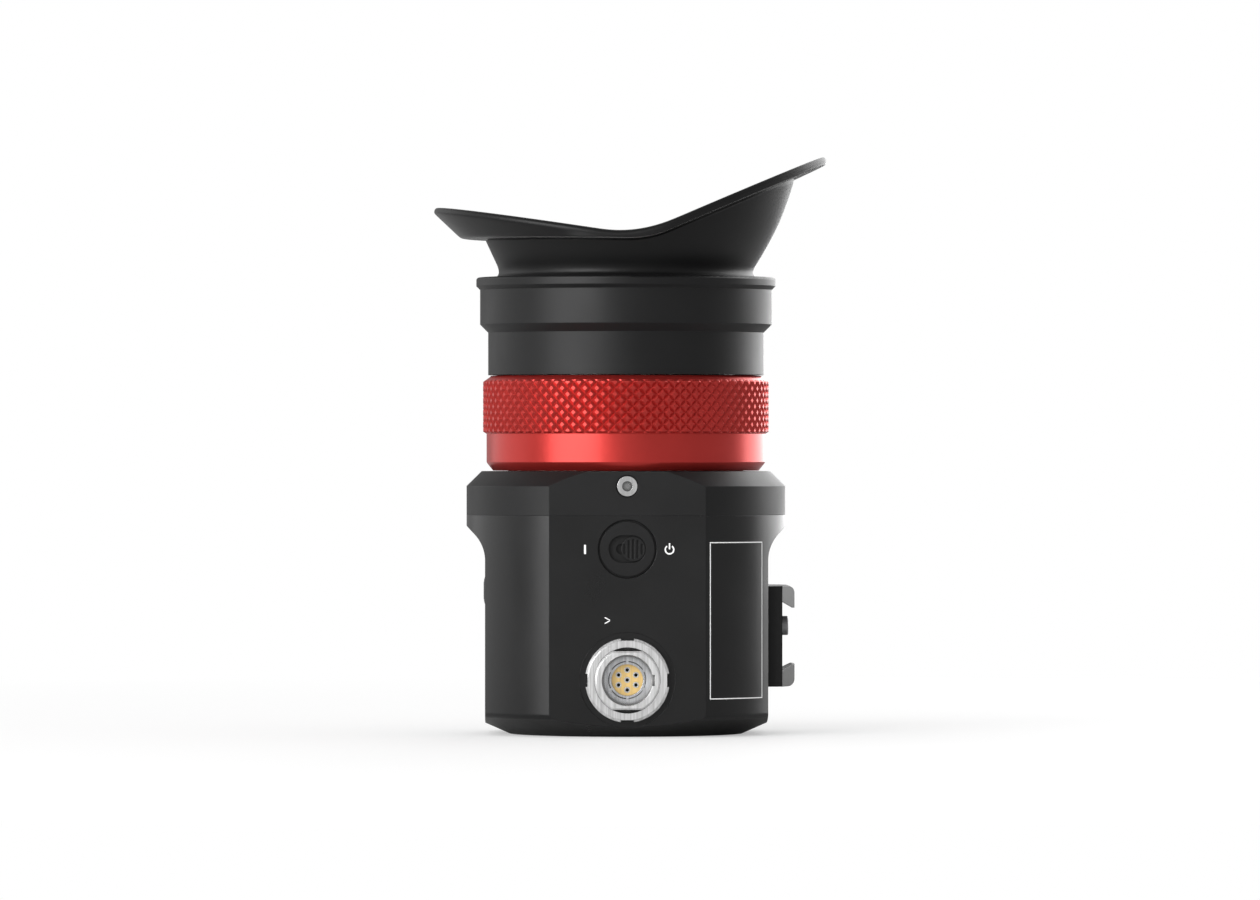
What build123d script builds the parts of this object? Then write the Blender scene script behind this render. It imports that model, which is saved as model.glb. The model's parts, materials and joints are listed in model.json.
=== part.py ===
"""Electronic viewfinder with a turning focus ring, a sliding eyepiece and a swivelling rubber eyecup.

Millimetres. +Z runs along the optical axis from the display end to the eye, and z = 0 is the flat
display end that the viewfinder stands on. The control face looks towards -Y, the rail shoe is on
+X and the side button on -X.
"""

import os
from math import copysign, cos, radians, sin, sqrt, tan

from build123d import *

os.makedirs("parts", exist_ok=True)

# Shared working values
overrun = 1.0
thread_gap = 0.02
seat_gap = 0.05
running_gap = 0.05
rest_gap = 0.1

# Lens tube and the glass: everything is built outwards from the lens radius
lens_radius = 15.9
lens_rim_width = 1.5
seat_width = 1.3
tube_wall = 1.75
field_lens_edge = 3.5
field_lens_rear_sag = 1.2
field_lens_front_sag = 2.5
lower_spacer_length = 5.5
crown_edge = 3.5
crown_rear_sag = 2.0
cement_sag = 3.0
flint_edge = 5.0
flint_front_sag = -0.8
upper_spacer_length = 4.0
eye_lens_edge = 5.0
eye_lens_rear_sag = 2.2
eye_lens_front_sag = 1.8
retainer_thickness = 2.4
retainer_slot_width = 1.6
retainer_slot_depth = 0.9
tube_lower_lip = 1.4
tube_end_margin = 0.7
tube_flange_thickness = 1.4
tube_floor_gap = 1.2
lens_bore_radius = lens_radius + seat_gap
lens_clear_radius = lens_radius - lens_rim_width
seat_radius = lens_radius - seat_width
tube_radius = lens_bore_radius + tube_wall

# Cam followers and the eyepiece travel
follower_count = 3
follower_radius = 1.0
follower_gap = 0.06
follower_lens_gap = 0.25
eyepiece_travel = 5.0
ring_turn_angle = 110
follower_start_angle = 90

# Guide sleeve and its foot
sleeve_wall = 1.8
foot_width = 3.45
foot_thickness = 3.8
foot_sink = 0.1
sleeve_end_margin = 1.01
sleeve_bore_radius = tube_radius + running_gap
sleeve_radius = sleeve_bore_radius + sleeve_wall
foot_radius = sleeve_radius + foot_width

# Housing: a turned body with flats, wide enough for the sleeve's foot
body_wall = 6.5
body_height = 40.4
front_cut = 3.7
side_cut = 3.5
side_runout_drop = 8.3
runout_radius = 6.8
base_bevel_height = 3.5
base_round = 1.0
floor_height = 4.0
cavity_radius = foot_radius
body_radius = cavity_radius + body_wall
front_flat = body_radius - front_cut
side_flat = body_radius - side_cut
side_flat_top = body_height - side_runout_drop
inner_face = cavity_radius + seat_gap

# Top cap
cap_height = 8.1
cap_bevel_width = 2.8
cap_bevel_height = 2.75
spigot_length = 2.5
cap_bore_inset = 1.4
seal_wire_radius = 0.43
seal_groove_depth = 0.8
seal_groove_height = 1.0
cap_top = body_height + cap_height
cap_seat = body_height - spigot_length
cap_bevel_radius = body_radius - cap_bevel_width
cap_bore_radius = tube_radius + seat_gap - cap_bore_inset + seat_gap
spigot_radius = cavity_radius - rest_gap
foot_high = cap_top - foot_sink
foot_low = foot_high - foot_thickness

# Tie screws and stand-offs that clamp cover, boards and cap together
tie_radius = 1.0
tie_head_radius = 1.9
tie_head_height = 1.1
tie_end_margin = 1.6
tie_count = 4
tie_start_angle = 45
standoff_radius = 2.0
standoff_gap = 0.2
socket_share = 0.5
tie_ring_radius = cap_bore_radius + standoff_radius + standoff_gap
tie_top = foot_low - tie_end_margin

# Base cover
cover_margin = 2.1
cover_rim = 0.9
cover_ledge = 0.4
cover_thickness = 1.8
cover_pocket_inset = 5.6
cover_pocket_depth = 0.5
cover_radius = tie_ring_radius + cover_margin
base_radius = cover_radius + cover_rim
floor_opening_radius = tie_ring_radius - standoff_radius - cover_ledge
cover_pocket_radius = tie_ring_radius - cover_pocket_inset

# Screws that hold the sleeve's foot
foot_screw_radius = 0.8
foot_screw_head_radius = 1.45
foot_screw_head_height = 1.6
foot_screw_grip = 3.1
lock_screw_rise = 1.19
lock_screw_head_radius = 1.84
lock_screw_head_height = 2.0
lock_screw_radius = 1.0
lock_screw_grip = 2.3
lock_screw_socket_radius = 0.93
lock_screw_recess_gap = 0.2
foot_screw_ring_radius = (sleeve_radius + foot_radius) / 2
foot_screw_seat = foot_high - seat_gap - foot_screw_head_height
foot_screw_end = foot_low - foot_screw_grip
lock_screw_height = foot_low + lock_screw_rise
lock_screw_recess_radius = lock_screw_head_radius + lock_screw_recess_gap
lock_screw_seat = front_flat - seat_gap - lock_screw_head_height
lock_screw_end = foot_radius - lock_screw_grip

# Focus ring
ring_height = 17.5
ring_wall = 1.2
ring_foot_bevel_width = 1.1
ring_foot_bevel_height = 1.5
ring_band_height = 6.8
ring_grip_step = 0.65
ring_grip_bevel = 0.4
ring_crown_width = 1.35
ring_crown_height = 1.2
ring_crown_bevel = 0.25

# Cam ring, its screws, washers and clip
cam_wall = 2.4
cam_flange_width = 2.6
cam_flange_thickness = 1.65
cam_sink = 0.25
cam_groove_depth = 1.55
cam_screw_inset = 1.0
cam_screw_radius = 0.8
cam_screw_head_radius = 1.3
cam_screw_head_height = 0.7
cam_screw_length = 3.6
cam_screw_count = 3
washer_inset = 0.2
washer_thickness = 0.3
clip_inset = 0.5
clip_groove_depth = 0.5
clip_thickness = 0.8
clip_opening_angle = 40
cam_bore_radius = sleeve_radius + running_gap
ring_bore_radius = cam_bore_radius + cam_wall
ring_ledge_radius = ring_bore_radius + cam_flange_width
cam_flange_radius = ring_ledge_radius - rest_gap
cam_screw_ring_radius = ring_bore_radius + cam_screw_inset
ring_band_radius = ring_ledge_radius + ring_wall
ring_foot_radius = ring_band_radius - ring_foot_bevel_width
ring_grip_radius = ring_band_radius + ring_grip_step
ring_crown_radius = ring_grip_radius - ring_crown_width
ring_bottom = cap_top + rest_gap
ring_top = ring_bottom + ring_height
ring_band_low = ring_bottom + ring_foot_bevel_height
ring_grip_low = ring_bottom + ring_band_height
ring_grip_high = ring_top - ring_crown_height
cam_flange_top = ring_top - cam_sink
ring_ledge_height = cam_flange_top - cam_flange_thickness
washer_low = foot_high + thread_gap
cam_bottom = washer_low + washer_thickness + thread_gap
washer_high = cam_flange_top + thread_gap
washer_radius = ring_bore_radius - washer_inset
clip_radius = washer_radius - clip_inset
clip_low = washer_high + washer_thickness + thread_gap
sleeve_top = clip_low + clip_thickness + sleeve_end_margin

# Heights of the lens tube and its stack
tube_bottom = foot_high + tube_floor_gap
lens_seat = tube_bottom + tube_lower_lip
follower_height = lens_seat + follower_radius
follower_inner = lens_bore_radius + follower_lens_gap
field_lens_front = lens_seat + field_lens_edge
crown_rear = field_lens_front + lower_spacer_length
crown_front = crown_rear + crown_edge
flint_front = crown_front + flint_edge
eye_lens_rear = flint_front + upper_spacer_length
eye_lens_front = eye_lens_rear + eye_lens_edge
retainer_top = eye_lens_front + retainer_thickness
tube_top = retainer_top + tube_end_margin

# Eyepiece barrel, hung from the lens tube's flange
skirt_gap = 0.15
skirt_inset = 0.3
skirt_wall = 1.6
collar_step = 1.5
lip_step = 0.7
lip_height = 2.3
lip_round = 0.5
recess_inset = 2.1
recess_depth = 3.35
shelf_width = 2.9
collar_height = 7.9
collar_rise = 0.35
web_thickness = 2.4
web_rise = 0.5
barrel_screw_radius = 0.8
barrel_screw_head_radius = 1.4
barrel_screw_head_height = 0.8
barrel_screw_length = 3.2
barrel_screw_count = 3
tube_flange_inset = 0.2
ocular_cover_bevel = 0.8
skirt_bottom = ring_top + skirt_gap
shelf_height = tube_top + collar_rise
lip_top = shelf_height + recess_depth
collar_top = lip_top - lip_height
skirt_top = collar_top - collar_height
web_low = skirt_top + web_rise
web_high = web_low + web_thickness
tube_flange_top = web_high + tube_flange_thickness
skirt_radius = ring_band_radius - skirt_inset
skirt_bore_radius = skirt_radius - skirt_wall
collar_radius = skirt_radius + collar_step
lip_radius = collar_radius + lip_step
recess_radius = lip_radius - recess_inset
collar_bore_radius = recess_radius - shelf_width
tube_flange_radius = collar_bore_radius - tube_flange_inset
barrel_screw_ring_radius = (tube_radius + tube_flange_radius) / 2
ocular_cover_top = shelf_height - seat_gap

# Eyecup and the ring that it turns with
eyecup_flange_thickness = 1.15
eyecup_hub_inset = 1.4
eyecup_hub_sink = 0.2
plug_inset = 1.6
plug_wall = 1.6
cup_foot_inset = 0.4
throat_inset = 0.3
throat_rise = 1.5
cone_angle = 24.9
cup_wall = 1.5
wing_rise = 6.6
wing_width = 6.1
wing_wall = 1.5
rim_rise = 0.75
rim_low_x = 1.92
rim_left_angle = 8.6
rim_right_angle = 23.4
rim_blend_radius = 24.0
rim_thickness = 2.2
rim_centre_x = 0.8
rim_flare_length = 12.9
rim_flare_width = 8.1
eyecup_hub_radius = recess_radius - eyecup_hub_inset
plug_radius = eyecup_hub_radius - plug_inset
plug_bore_radius = plug_radius - plug_wall
cup_foot_radius = eyecup_hub_radius - cup_foot_inset
throat_radius = cup_foot_radius - throat_inset
wing_corner_radius = throat_radius + wing_width
rim_half_length = throat_radius + rim_flare_length
rim_half_width = throat_radius + rim_flare_width
eyecup_low = shelf_height + rest_gap
eyecup_flange_top = eyecup_low + eyecup_flange_thickness
eyecup_hub_top = lip_top - eyecup_hub_sink
throat_height = lip_top + throat_rise
wing_floor = lip_top + wing_rise
rim_low_z = wing_floor + rim_rise

# Video connector in the control face
connector_height = 10.46
connector_radius = 5.98
connector_flat_depth = 0.63
connector_proud = 2.3
connector_edge_bevel = 0.3
connector_hole_gap = 0.12
connector_bore_wall = 1.32
connector_bore_depth = 3.2
connector_key_width = 2.0
connector_key_depth = 0.34
connector_flange_width = 1.42
connector_flange_thickness = 1.5
connector_rear_inset = 0.78
connector_length = 15.5
connector_seal_thickness = 0.55
connector_landing_margin = 1.05
connector_landing_depth = 0.2
nut_wall = 1.72
nut_bevel = 0.45
nut_thickness = 2.1
nut_notch_width = 2.36
nut_notch_depth = 0.45
nut_notch_count = 4
crown_gap = 0.31
crown_wall = 1.49
crown_length = 10.9
crown_slit_inset = 0.97
crown_slit_width = 0.16
crown_slit_depth = 0.6
crown_bridge_width = 0.5
crown_slit_count = 6
insert_sink = 0.6
insert_length = 11.3
contact_pitch = 1.82
contact_radius = 0.545
contact_bore_radius = 0.32
contact_bore_depth = 3.0
contact_tail = 1.4
contact_count = 6
connector_flex_width = 8.0
connector_flex_margin = 1.5
connector_flats = 2 * (connector_radius - connector_flat_depth)
connector_hole_radius = connector_radius + connector_hole_gap
connector_bore_radius = connector_radius - connector_bore_wall
connector_key_radius = connector_bore_radius + connector_key_depth
connector_flange_radius = connector_radius + connector_flange_width
connector_rear_radius = connector_radius - connector_rear_inset
nut_radius = connector_radius + nut_wall
connector_landing_radius = nut_radius + connector_landing_margin
crown_radius = connector_bore_radius - crown_gap
crown_slit_radius = crown_radius - crown_slit_inset
insert_radius = crown_radius - crown_wall
connector_front = front_flat + connector_proud
connector_rear = connector_front - connector_length
connector_seat = inner_face - connector_seal_thickness
connector_bore_floor = connector_front - connector_bore_depth
nut_seat = front_flat - connector_landing_depth
insert_front = connector_bore_floor - insert_sink
contact_rear = insert_front - insert_length - contact_tail

# Display chamber
board_margin = 1.5
board_clearance = 1.14
board_thickness = 1.2
processor_size = 13.0
processor_height = 1.4
memory_length = 8.0
memory_width = 6.0
memory_height = 1.0
memory_gap = 2.0
coil_size = 4.0
coil_height = 2.2
coil_gap = 6.1
coil_pitch = 8.0
socket_length = 10.0
socket_width = 3.0
socket_height = 1.1
socket_reach = 5.4
carrier_margin = 0.6
carrier_rise = 7.6
carrier_thickness = 2.0
carrier_window_x = 10.0
carrier_window_y = 6.0
front_notch_width = 18.5
front_notch_depth = 6.2
side_notch_depth = 4.6
side_notch_gap = 0.4
flex_slot_margin = 1.0
flex_slot_width = 1.6
panel_length = 18.0
panel_width = 12.6
panel_thickness = 1.4
glass_margin_x = 1.0
glass_margin_y = 1.5
glass_thickness = 0.7
clamp_frame = 3.0
clamp_thickness = 2.7
clamp_screw_inset = 1.4
clamp_screw_length = 3.4
baffle_gap = 0.2
baffle_low_bore_radius = 11.0
baffle_wall = 1.75
baffle_flange_width = 0.35
baffle_flange_thickness = 1.0
baffle_rib_count = 4
baffle_rib_depth = 0.5
flex_thickness = 0.2
display_flex_width = 11.0
display_flex_reach = 3.9
flex_land = 3.0
board_bottom = connector_height + connector_flange_radius + board_clearance
board_top = board_bottom + board_thickness
board_radius = cavity_radius - board_margin
carrier_bottom = board_top + carrier_rise
carrier_top = carrier_bottom + carrier_thickness
carrier_radius = cavity_radius - carrier_margin
glass_length = panel_length - 2 * glass_margin_x
glass_width = panel_width - 2 * glass_margin_y
clamp_length = panel_length + 2 * clamp_frame
clamp_width = panel_width + 2 * clamp_frame
clamp_top = carrier_top + clamp_thickness
clamp_screw_x = clamp_length / 2 - clamp_screw_inset
clamp_screw_y = clamp_width / 2 - clamp_screw_inset
baffle_low = clamp_top + baffle_gap
baffle_flange_low = foot_low - baffle_flange_thickness
baffle_flange_radius = sleeve_bore_radius + baffle_flange_width
baffle_top_bore_radius = cap_bore_radius - seat_gap - baffle_wall
display_flex_y = panel_width / 2 + display_flex_reach
flex_slot_length = display_flex_width + 2 * flex_slot_margin
memory_offset = processor_size / 2 + memory_gap + memory_width / 2
coil_offset_x = processor_size / 2 + coil_gap + coil_size / 2
socket_offset_y = contact_rear - flex_thickness - socket_reach - socket_width / 2

# Small pan-head screws for display clamp, switch and button board
pan_radius = 0.7
pan_head_radius = 1.25
pan_head_height = 0.7
pan_length = 1.9
clamp_screw_seat = clamp_top - seat_gap - pan_head_height

# Power switch in the control face
switch_drop = 6.05
switch_travel = 2.2
knob_radius = 2.2
knob_sink = 0.08
knob_groove_pitch = 0.79
knob_groove_width = 0.42
knob_groove_depth = 0.35
knob_groove_count = 5
knob_groove_margin = 0.35
knob_stem_radius = 0.8
knob_stem_depth = 1.2
switch_well_end_gap = 0.1
switch_well_side_gap = 0.315
switch_well_depth = 0.9
switch_web_thickness = 0.5
carrier_overlap = 1.2
carrier_side = 0.6
switch_disc_rim = 1.55
switch_groove_width = 0.415
switch_groove_depth = 0.7
switch_ear_thickness = 0.85
switch_ear_width = 6.6
switch_ear_end = 1.4
switch_screw_gap = 0.485
switch_body_length = 9.4
switch_body_width = 5.0
switch_body_depth = 4.0
switch_flex_width = 5.0
switch_height = body_height - switch_drop
switch_well_length = 2 * (knob_radius + switch_well_end_gap) + switch_travel
switch_well_width = 2 * (knob_radius + switch_well_side_gap)
switch_disc_radius = switch_well_length / 2 + switch_disc_rim
switch_hole_radius = switch_disc_radius + switch_groove_width
switch_screw_x = switch_hole_radius + switch_screw_gap + pan_head_radius
switch_ear_length = 2 * (switch_screw_x + switch_ear_end)
switch_well_floor = front_flat - switch_well_depth
switch_web_back = switch_well_floor - switch_web_thickness
switch_slot_width = 2 * (knob_stem_radius + rest_gap)
switch_slot_length = switch_slot_width + switch_travel
carrier_length = switch_slot_length + 2 * carrier_overlap
carrier_width = switch_slot_width + 2 * carrier_side
carrier_pocket_length = carrier_length + switch_travel + 2 * rest_gap
carrier_pocket_width = carrier_width + 2 * rest_gap
switch_back = inner_face - switch_ear_thickness
switch_rear = switch_back - switch_body_depth

# Side button
button_rise = 6.2
button_travel = 0.25
button_radius = 1.62
button_proud = 0.33
button_bezel_width = 1.3
button_bezel_top_width = 0.33
button_bezel_proud = 0.27
button_shank_wall = 0.88
button_shank_length = 1.2
button_flange_width = 0.48
button_flange_thickness = 0.35
button_flange_depth = 0.8
button_stem_radius = 0.8
tact_size = 4.6
tact_depth = 1.4
tact_recess_gap = 0.15
button_board_length = 13.0
button_board_width = 8.0
button_board_thickness = 0.8
button_screw_inset = 1.4
button_flex_width = 4.0
button_height = board_top + button_rise
button_bezel_radius = button_radius + button_bezel_width
button_bezel_top_radius = button_radius + button_bezel_top_width
button_shank_radius = button_radius + button_shank_wall
button_flange_radius = button_radius + button_flange_width
button_flange_front = side_flat - button_flange_depth
tact_front = inner_face + tact_depth
tact_recess_depth = button_travel + tact_recess_gap
button_board_back = inner_face - button_board_thickness
button_screw_y = button_board_length / 2 - button_screw_inset
side_notch_width = button_board_length + 2 * side_notch_gap

# Rail shoe on the right-hand flat, its stop pin and the pin's spring
shoe_centre_height = 18.1
shoe_length = 22.0
shoe_plate = 2.68
hook_depth = 2.42
hook_lip = 0.52
hook_height = 2.95
hook_undercut = 1.1
hook_lead = 6.0
channel_floor_width = 12.6
shoe_round = 1.3
shoe_end_lip = 0.4
shoe_end_round = 0.8
hook_round = 0.3
shoe_screw_y = 7.0
shoe_screw_radius = 1.25
shoe_screw_head_radius = 2.3
shoe_screw_head_height = 1.3
shoe_screw_length = 5.2
pin_rise = 1.8
pin_radius = 1.775
pin_proud = 1.37
pin_flange_width = 0.8
pin_flange_thickness = 0.8
pin_flange_sink = 1.2
pin_stem_radius = 0.9
pin_stem_length = 1.4
pin_pocket_gap = 0.2
pin_pocket_depth = 2.4
pin_round = 0.25
spring_wire_radius = 0.15
spring_inset = 0.7
spring_turns = 2
shoe_height = channel_floor_width + 2 * hook_height
channel_mouth_width = channel_floor_width - 2 * hook_undercut
shoe_face = side_flat + shoe_plate
shoe_outside = shoe_face + hook_depth
channel_slope_end = shoe_outside - hook_lip
pin_height = shoe_centre_height + pin_rise
pin_flange_radius = pin_radius + pin_flange_width
pin_pocket_radius = pin_flange_radius + pin_pocket_gap
pin_pocket_floor = side_flat - pin_pocket_depth
pin_shoulder = side_flat + pin_flange_sink
pin_flange_back = pin_shoulder - pin_flange_thickness
spring_coil_radius = pin_flange_radius - spring_inset

# Alignments for solids that grow away from their plane or into it
outwards = (Align.CENTER, Align.CENTER, Align.MIN)
inwards = (Align.CENTER, Align.CENTER, Align.MAX)


def front_plane(distance, height, x=0.0):
    """Plane that looks along -Y, `distance` in front of the optical axis."""
    return Plane(origin=(x, -distance, height), x_dir=(1, 0, 0), z_dir=(0, -1, 0))


def back_plane(distance, height, x=0.0):
    """Plane that looks along +Y, `distance` behind the optical axis."""
    return Plane(origin=(x, distance, height), x_dir=(-1, 0, 0), z_dir=(0, 1, 0))


def left_plane(distance, height, y=0.0):
    """Plane that looks along -X, `distance` to the left of the optical axis."""
    return Plane(origin=(-distance, y, height), x_dir=(0, -1, 0), z_dir=(-1, 0, 0))


def right_plane(distance, height, y=0.0):
    """Plane that looks along +X, `distance` to the right of the optical axis."""
    return Plane(origin=(distance, y, height), x_dir=(0, 1, 0), z_dir=(1, 0, 0))


def radial_plane(angle, distance, height):
    """Plane that looks away from the optical axis at the given angle round it."""
    outward = (cos(radians(angle)), sin(radians(angle)), 0)
    along = (-sin(radians(angle)), cos(radians(angle)), 0)
    return Plane(origin=(distance * outward[0], distance * outward[1], height), x_dir=along, z_dir=outward)


def upright_planes(circle, count, start_angle, height, facing=1):
    """Horizontal planes spread evenly on a circle round the optical axis."""
    planes = []
    for index in range(count):
        angle = radians(start_angle + index * 360 / count)
        origin = (circle * cos(angle), circle * sin(angle), height)
        planes.append(Plane(origin=origin, x_dir=(1, 0, 0), z_dir=(0, 0, facing)))
    return planes


def follower_angles():
    """Angles round the axis at which the followers stand at rest."""
    return [follower_start_angle + index * 360 / follower_count for index in range(follower_count)]


def turned(points, mode=Mode.ADD):
    """Turn a closed outline of (radius, height) points about the optical axis."""
    with BuildSketch(Plane.XZ) as outline:
        with BuildLine():
            Polyline(*points, close=True)
        make_face()
    revolve(outline.sketch, axis=Axis.Z, mode=mode)


def tube(outer, inner, low, high, mode=Mode.ADD):
    """Plain ring about the optical axis, or a disc when the inner radius is zero."""
    with BuildSketch(Plane.XY.offset(low)) as ring:
        Circle(outer)
        if inner > 0:
            Circle(inner, mode=Mode.SUBTRACT)
    extrude(ring.sketch, amount=high - low, mode=mode)


def drum(plane, radius, length, mode=Mode.ADD):
    """Cylinder that grows out of a plane, or into it when the length is negative."""
    with BuildSketch(plane) as disc:
        Circle(radius)
    extrude(disc.sketch, amount=length, mode=mode)


def block(plane, length, width, depth, mode=Mode.ADD):
    """Rectangular block that grows out of a plane, or into it when the depth is negative."""
    with BuildSketch(plane) as rectangle:
        Rectangle(length, width)
    extrude(rectangle.sketch, amount=depth, mode=mode)


def trim_to_flats(low, high):
    """Keep only what lies between the front and the back flat."""
    with BuildSketch(Plane.XY.offset(low)) as slab:
        Rectangle(2 * body_radius, 2 * front_flat)
    extrude(slab.sketch, amount=high - low, mode=Mode.INTERSECT)


def add_headed_screws(seats, head_radius, head_height, socket_radius, shank_radius, shank_length):
    """Screws with round heads and a drilled socket, each standing on its seat plane."""
    with Locations(*seats):
        Cylinder(head_radius, head_height, align=outwards)
        Cylinder(shank_radius, shank_length, align=inwards)
    with Locations(*[seat.offset(head_height) for seat in seats]):
        Cylinder(socket_radius, head_height * socket_share, align=inwards, mode=Mode.SUBTRACT)


def add_sunk_screws(faces, head_radius, head_height, shank_radius, length):
    """Screws with a sunk conical head, each flush with its face plane."""
    with Locations(*faces):
        Cone(shank_radius, head_radius, head_height, align=inwards)
        Cylinder(shank_radius, length, align=inwards)
    with Locations(*faces):
        Cylinder(head_radius * socket_share, head_height * socket_share, align=inwards, mode=Mode.SUBTRACT)


def cut_sunk_holes(faces, head_radius, head_height, shank_radius, length):
    """Holes for the sunk screws, opened by the thread gap."""
    with Locations(*faces):
        Cone(shank_radius + thread_gap, head_radius + thread_gap, head_height, align=inwards,
             mode=Mode.SUBTRACT)
        Cylinder(shank_radius + thread_gap, length + thread_gap, align=inwards, mode=Mode.SUBTRACT)


def cut_holes(seats, radius, depth):
    """Round holes bored into each seat plane."""
    with Locations(*seats):
        Cylinder(radius, depth, align=inwards, mode=Mode.SUBTRACT)


def save(piece, label):
    """Label a finished piece and write it as its own STEP file."""
    piece.part.label = label
    export_step(piece.part, f"parts/{label}.step")


tie_faces = upright_planes(tie_ring_radius, tie_count, tie_start_angle, 0, facing=-1)
foot_screw_seats = upright_planes(foot_screw_ring_radius, tie_count, tie_start_angle, foot_screw_seat)
lock_screw_seats = [
    front_plane(lock_screw_seat, lock_screw_height),
    back_plane(lock_screw_seat, lock_screw_height),
]
cam_screw_faces = upright_planes(cam_screw_ring_radius, cam_screw_count, follower_start_angle, cam_flange_top)
barrel_screw_faces = upright_planes(
    barrel_screw_ring_radius, barrel_screw_count, follower_start_angle, tube_flange_top
)
shoe_screw_faces = [right_plane(shoe_face, shoe_centre_height, y) for y in (-shoe_screw_y, shoe_screw_y)]
clamp_screw_seats = [
    Plane(origin=(x, y, clamp_screw_seat), z_dir=(0, 0, 1))
    for x in (-clamp_screw_x, clamp_screw_x)
    for y in (-clamp_screw_y, clamp_screw_y)
]
switch_screw_seats = [
    back_plane(-switch_back, switch_height, x) for x in (-switch_screw_x, switch_screw_x)
]
button_screw_seats = [
    right_plane(-button_board_back, button_height, y) for y in (-button_screw_y, button_screw_y)
]


def make_main_housing():
    """Milled housing: a turned body with a front and back flat, side flats and an open cavity."""
    runout_x = side_flat + runout_radius * (1 - cos(radians(45)))
    runout_z = side_flat_top + runout_radius * sin(radians(45))
    outside = body_radius + overrun
    with BuildPart() as housing:
        turned([
            (0, 0), (base_radius, 0), (body_radius, base_bevel_height),
            (body_radius, body_height), (0, body_height),
        ])
        fillet(housing.edges().filter_by(GeomType.CIRCLE).sort_by(Axis.Z)[1], radius=base_round)
        trim_to_flats(0, body_height)
        with BuildSketch(Plane.XZ) as side_cut:
            with BuildLine():
                Line((side_flat, -overrun), (side_flat, side_flat_top))
                TangentArc((side_flat, side_flat_top), (runout_x, runout_z), tangent=(0, 1))
                Polyline((runout_x, runout_z), (outside, runout_z + outside - runout_x),
                         (outside, -overrun), (side_flat, -overrun))
            make_face()
            mirror(about=Plane.YZ)
        extrude(side_cut.sketch, amount=outside, both=True, mode=Mode.SUBTRACT)
        tube(cavity_radius, 0, floor_height, body_height + overrun, mode=Mode.SUBTRACT)
        tube(floor_opening_radius, 0, -overrun, floor_height + overrun, mode=Mode.SUBTRACT)
        tube(cover_radius + rest_gap, 0, -overrun, cover_thickness, mode=Mode.SUBTRACT)
        cut_holes(tie_faces, tie_radius + rest_gap, floor_height + overrun)
        cut_connector_seat()
        cut_switch_seat()
        cut_button_seat()
        cut_shoe_seat()
    save(housing, "main_housing")


def cut_connector_seat():
    """Hole, outer landing and inner landing for the video connector."""
    outside = front_plane(front_flat + overrun, connector_height)
    drum(outside, connector_landing_radius, -(overrun + connector_landing_depth), mode=Mode.SUBTRACT)
    drum(outside, connector_hole_radius, -(2 * overrun + front_flat - inner_face), mode=Mode.SUBTRACT)
    landing = connector_seal_thickness + connector_flange_thickness + rest_gap
    drum(front_plane(inner_face, connector_height), connector_flange_radius + rest_gap, -landing,
         mode=Mode.SUBTRACT)


def cut_switch_seat():
    """Round window, inner landing and screw holes for the power switch."""
    drum(front_plane(front_flat + overrun, switch_height), switch_hole_radius,
         -(2 * overrun + front_flat - inner_face), mode=Mode.SUBTRACT)
    block(front_plane(inner_face, switch_height), switch_ear_length + 2 * rest_gap,
          switch_ear_width + 2 * rest_gap, -(inner_face - switch_back + overrun), mode=Mode.SUBTRACT)
    cut_holes(switch_screw_seats, pan_radius + thread_gap, pan_length + rest_gap)


def cut_button_seat():
    """Hole, switch pocket, inner landing and screw holes for the side button."""
    drum(left_plane(side_flat + overrun, button_height), button_shank_radius + thread_gap,
         -(2 * overrun + side_flat - inner_face), mode=Mode.SUBTRACT)
    pocket = tact_size + 2 * rest_gap
    inner = left_plane(inner_face, button_height)
    block(inner, pocket, pocket, tact_depth + rest_gap, mode=Mode.SUBTRACT)
    block(inner, button_board_length + 2 * rest_gap, button_board_width + 2 * rest_gap,
          -2 * button_board_thickness, mode=Mode.SUBTRACT)
    cut_holes(button_screw_seats, pan_radius + thread_gap, pan_length + rest_gap)


def cut_shoe_seat():
    """Screw holes and the spring pocket behind the rail shoe."""
    cut_holes(shoe_screw_faces, shoe_screw_radius + thread_gap, shoe_screw_length + rest_gap)
    drum(right_plane(side_flat + overrun, pin_height), pin_pocket_radius,
         -(overrun + side_flat - pin_pocket_floor), mode=Mode.SUBTRACT)


def make_base_cover():
    """Round plate that closes the display end, held by the tie screws."""
    with BuildPart() as cover:
        tube(cover_radius, 0, 0, cover_thickness)
        tube(cover_pocket_radius, 0, cover_thickness - cover_pocket_depth, cover_thickness + overrun,
             mode=Mode.SUBTRACT)
        cut_sunk_holes(tie_faces, tie_head_radius, tie_head_height, tie_radius, cover_thickness + overrun)
    save(cover, "base_cover")


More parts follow.
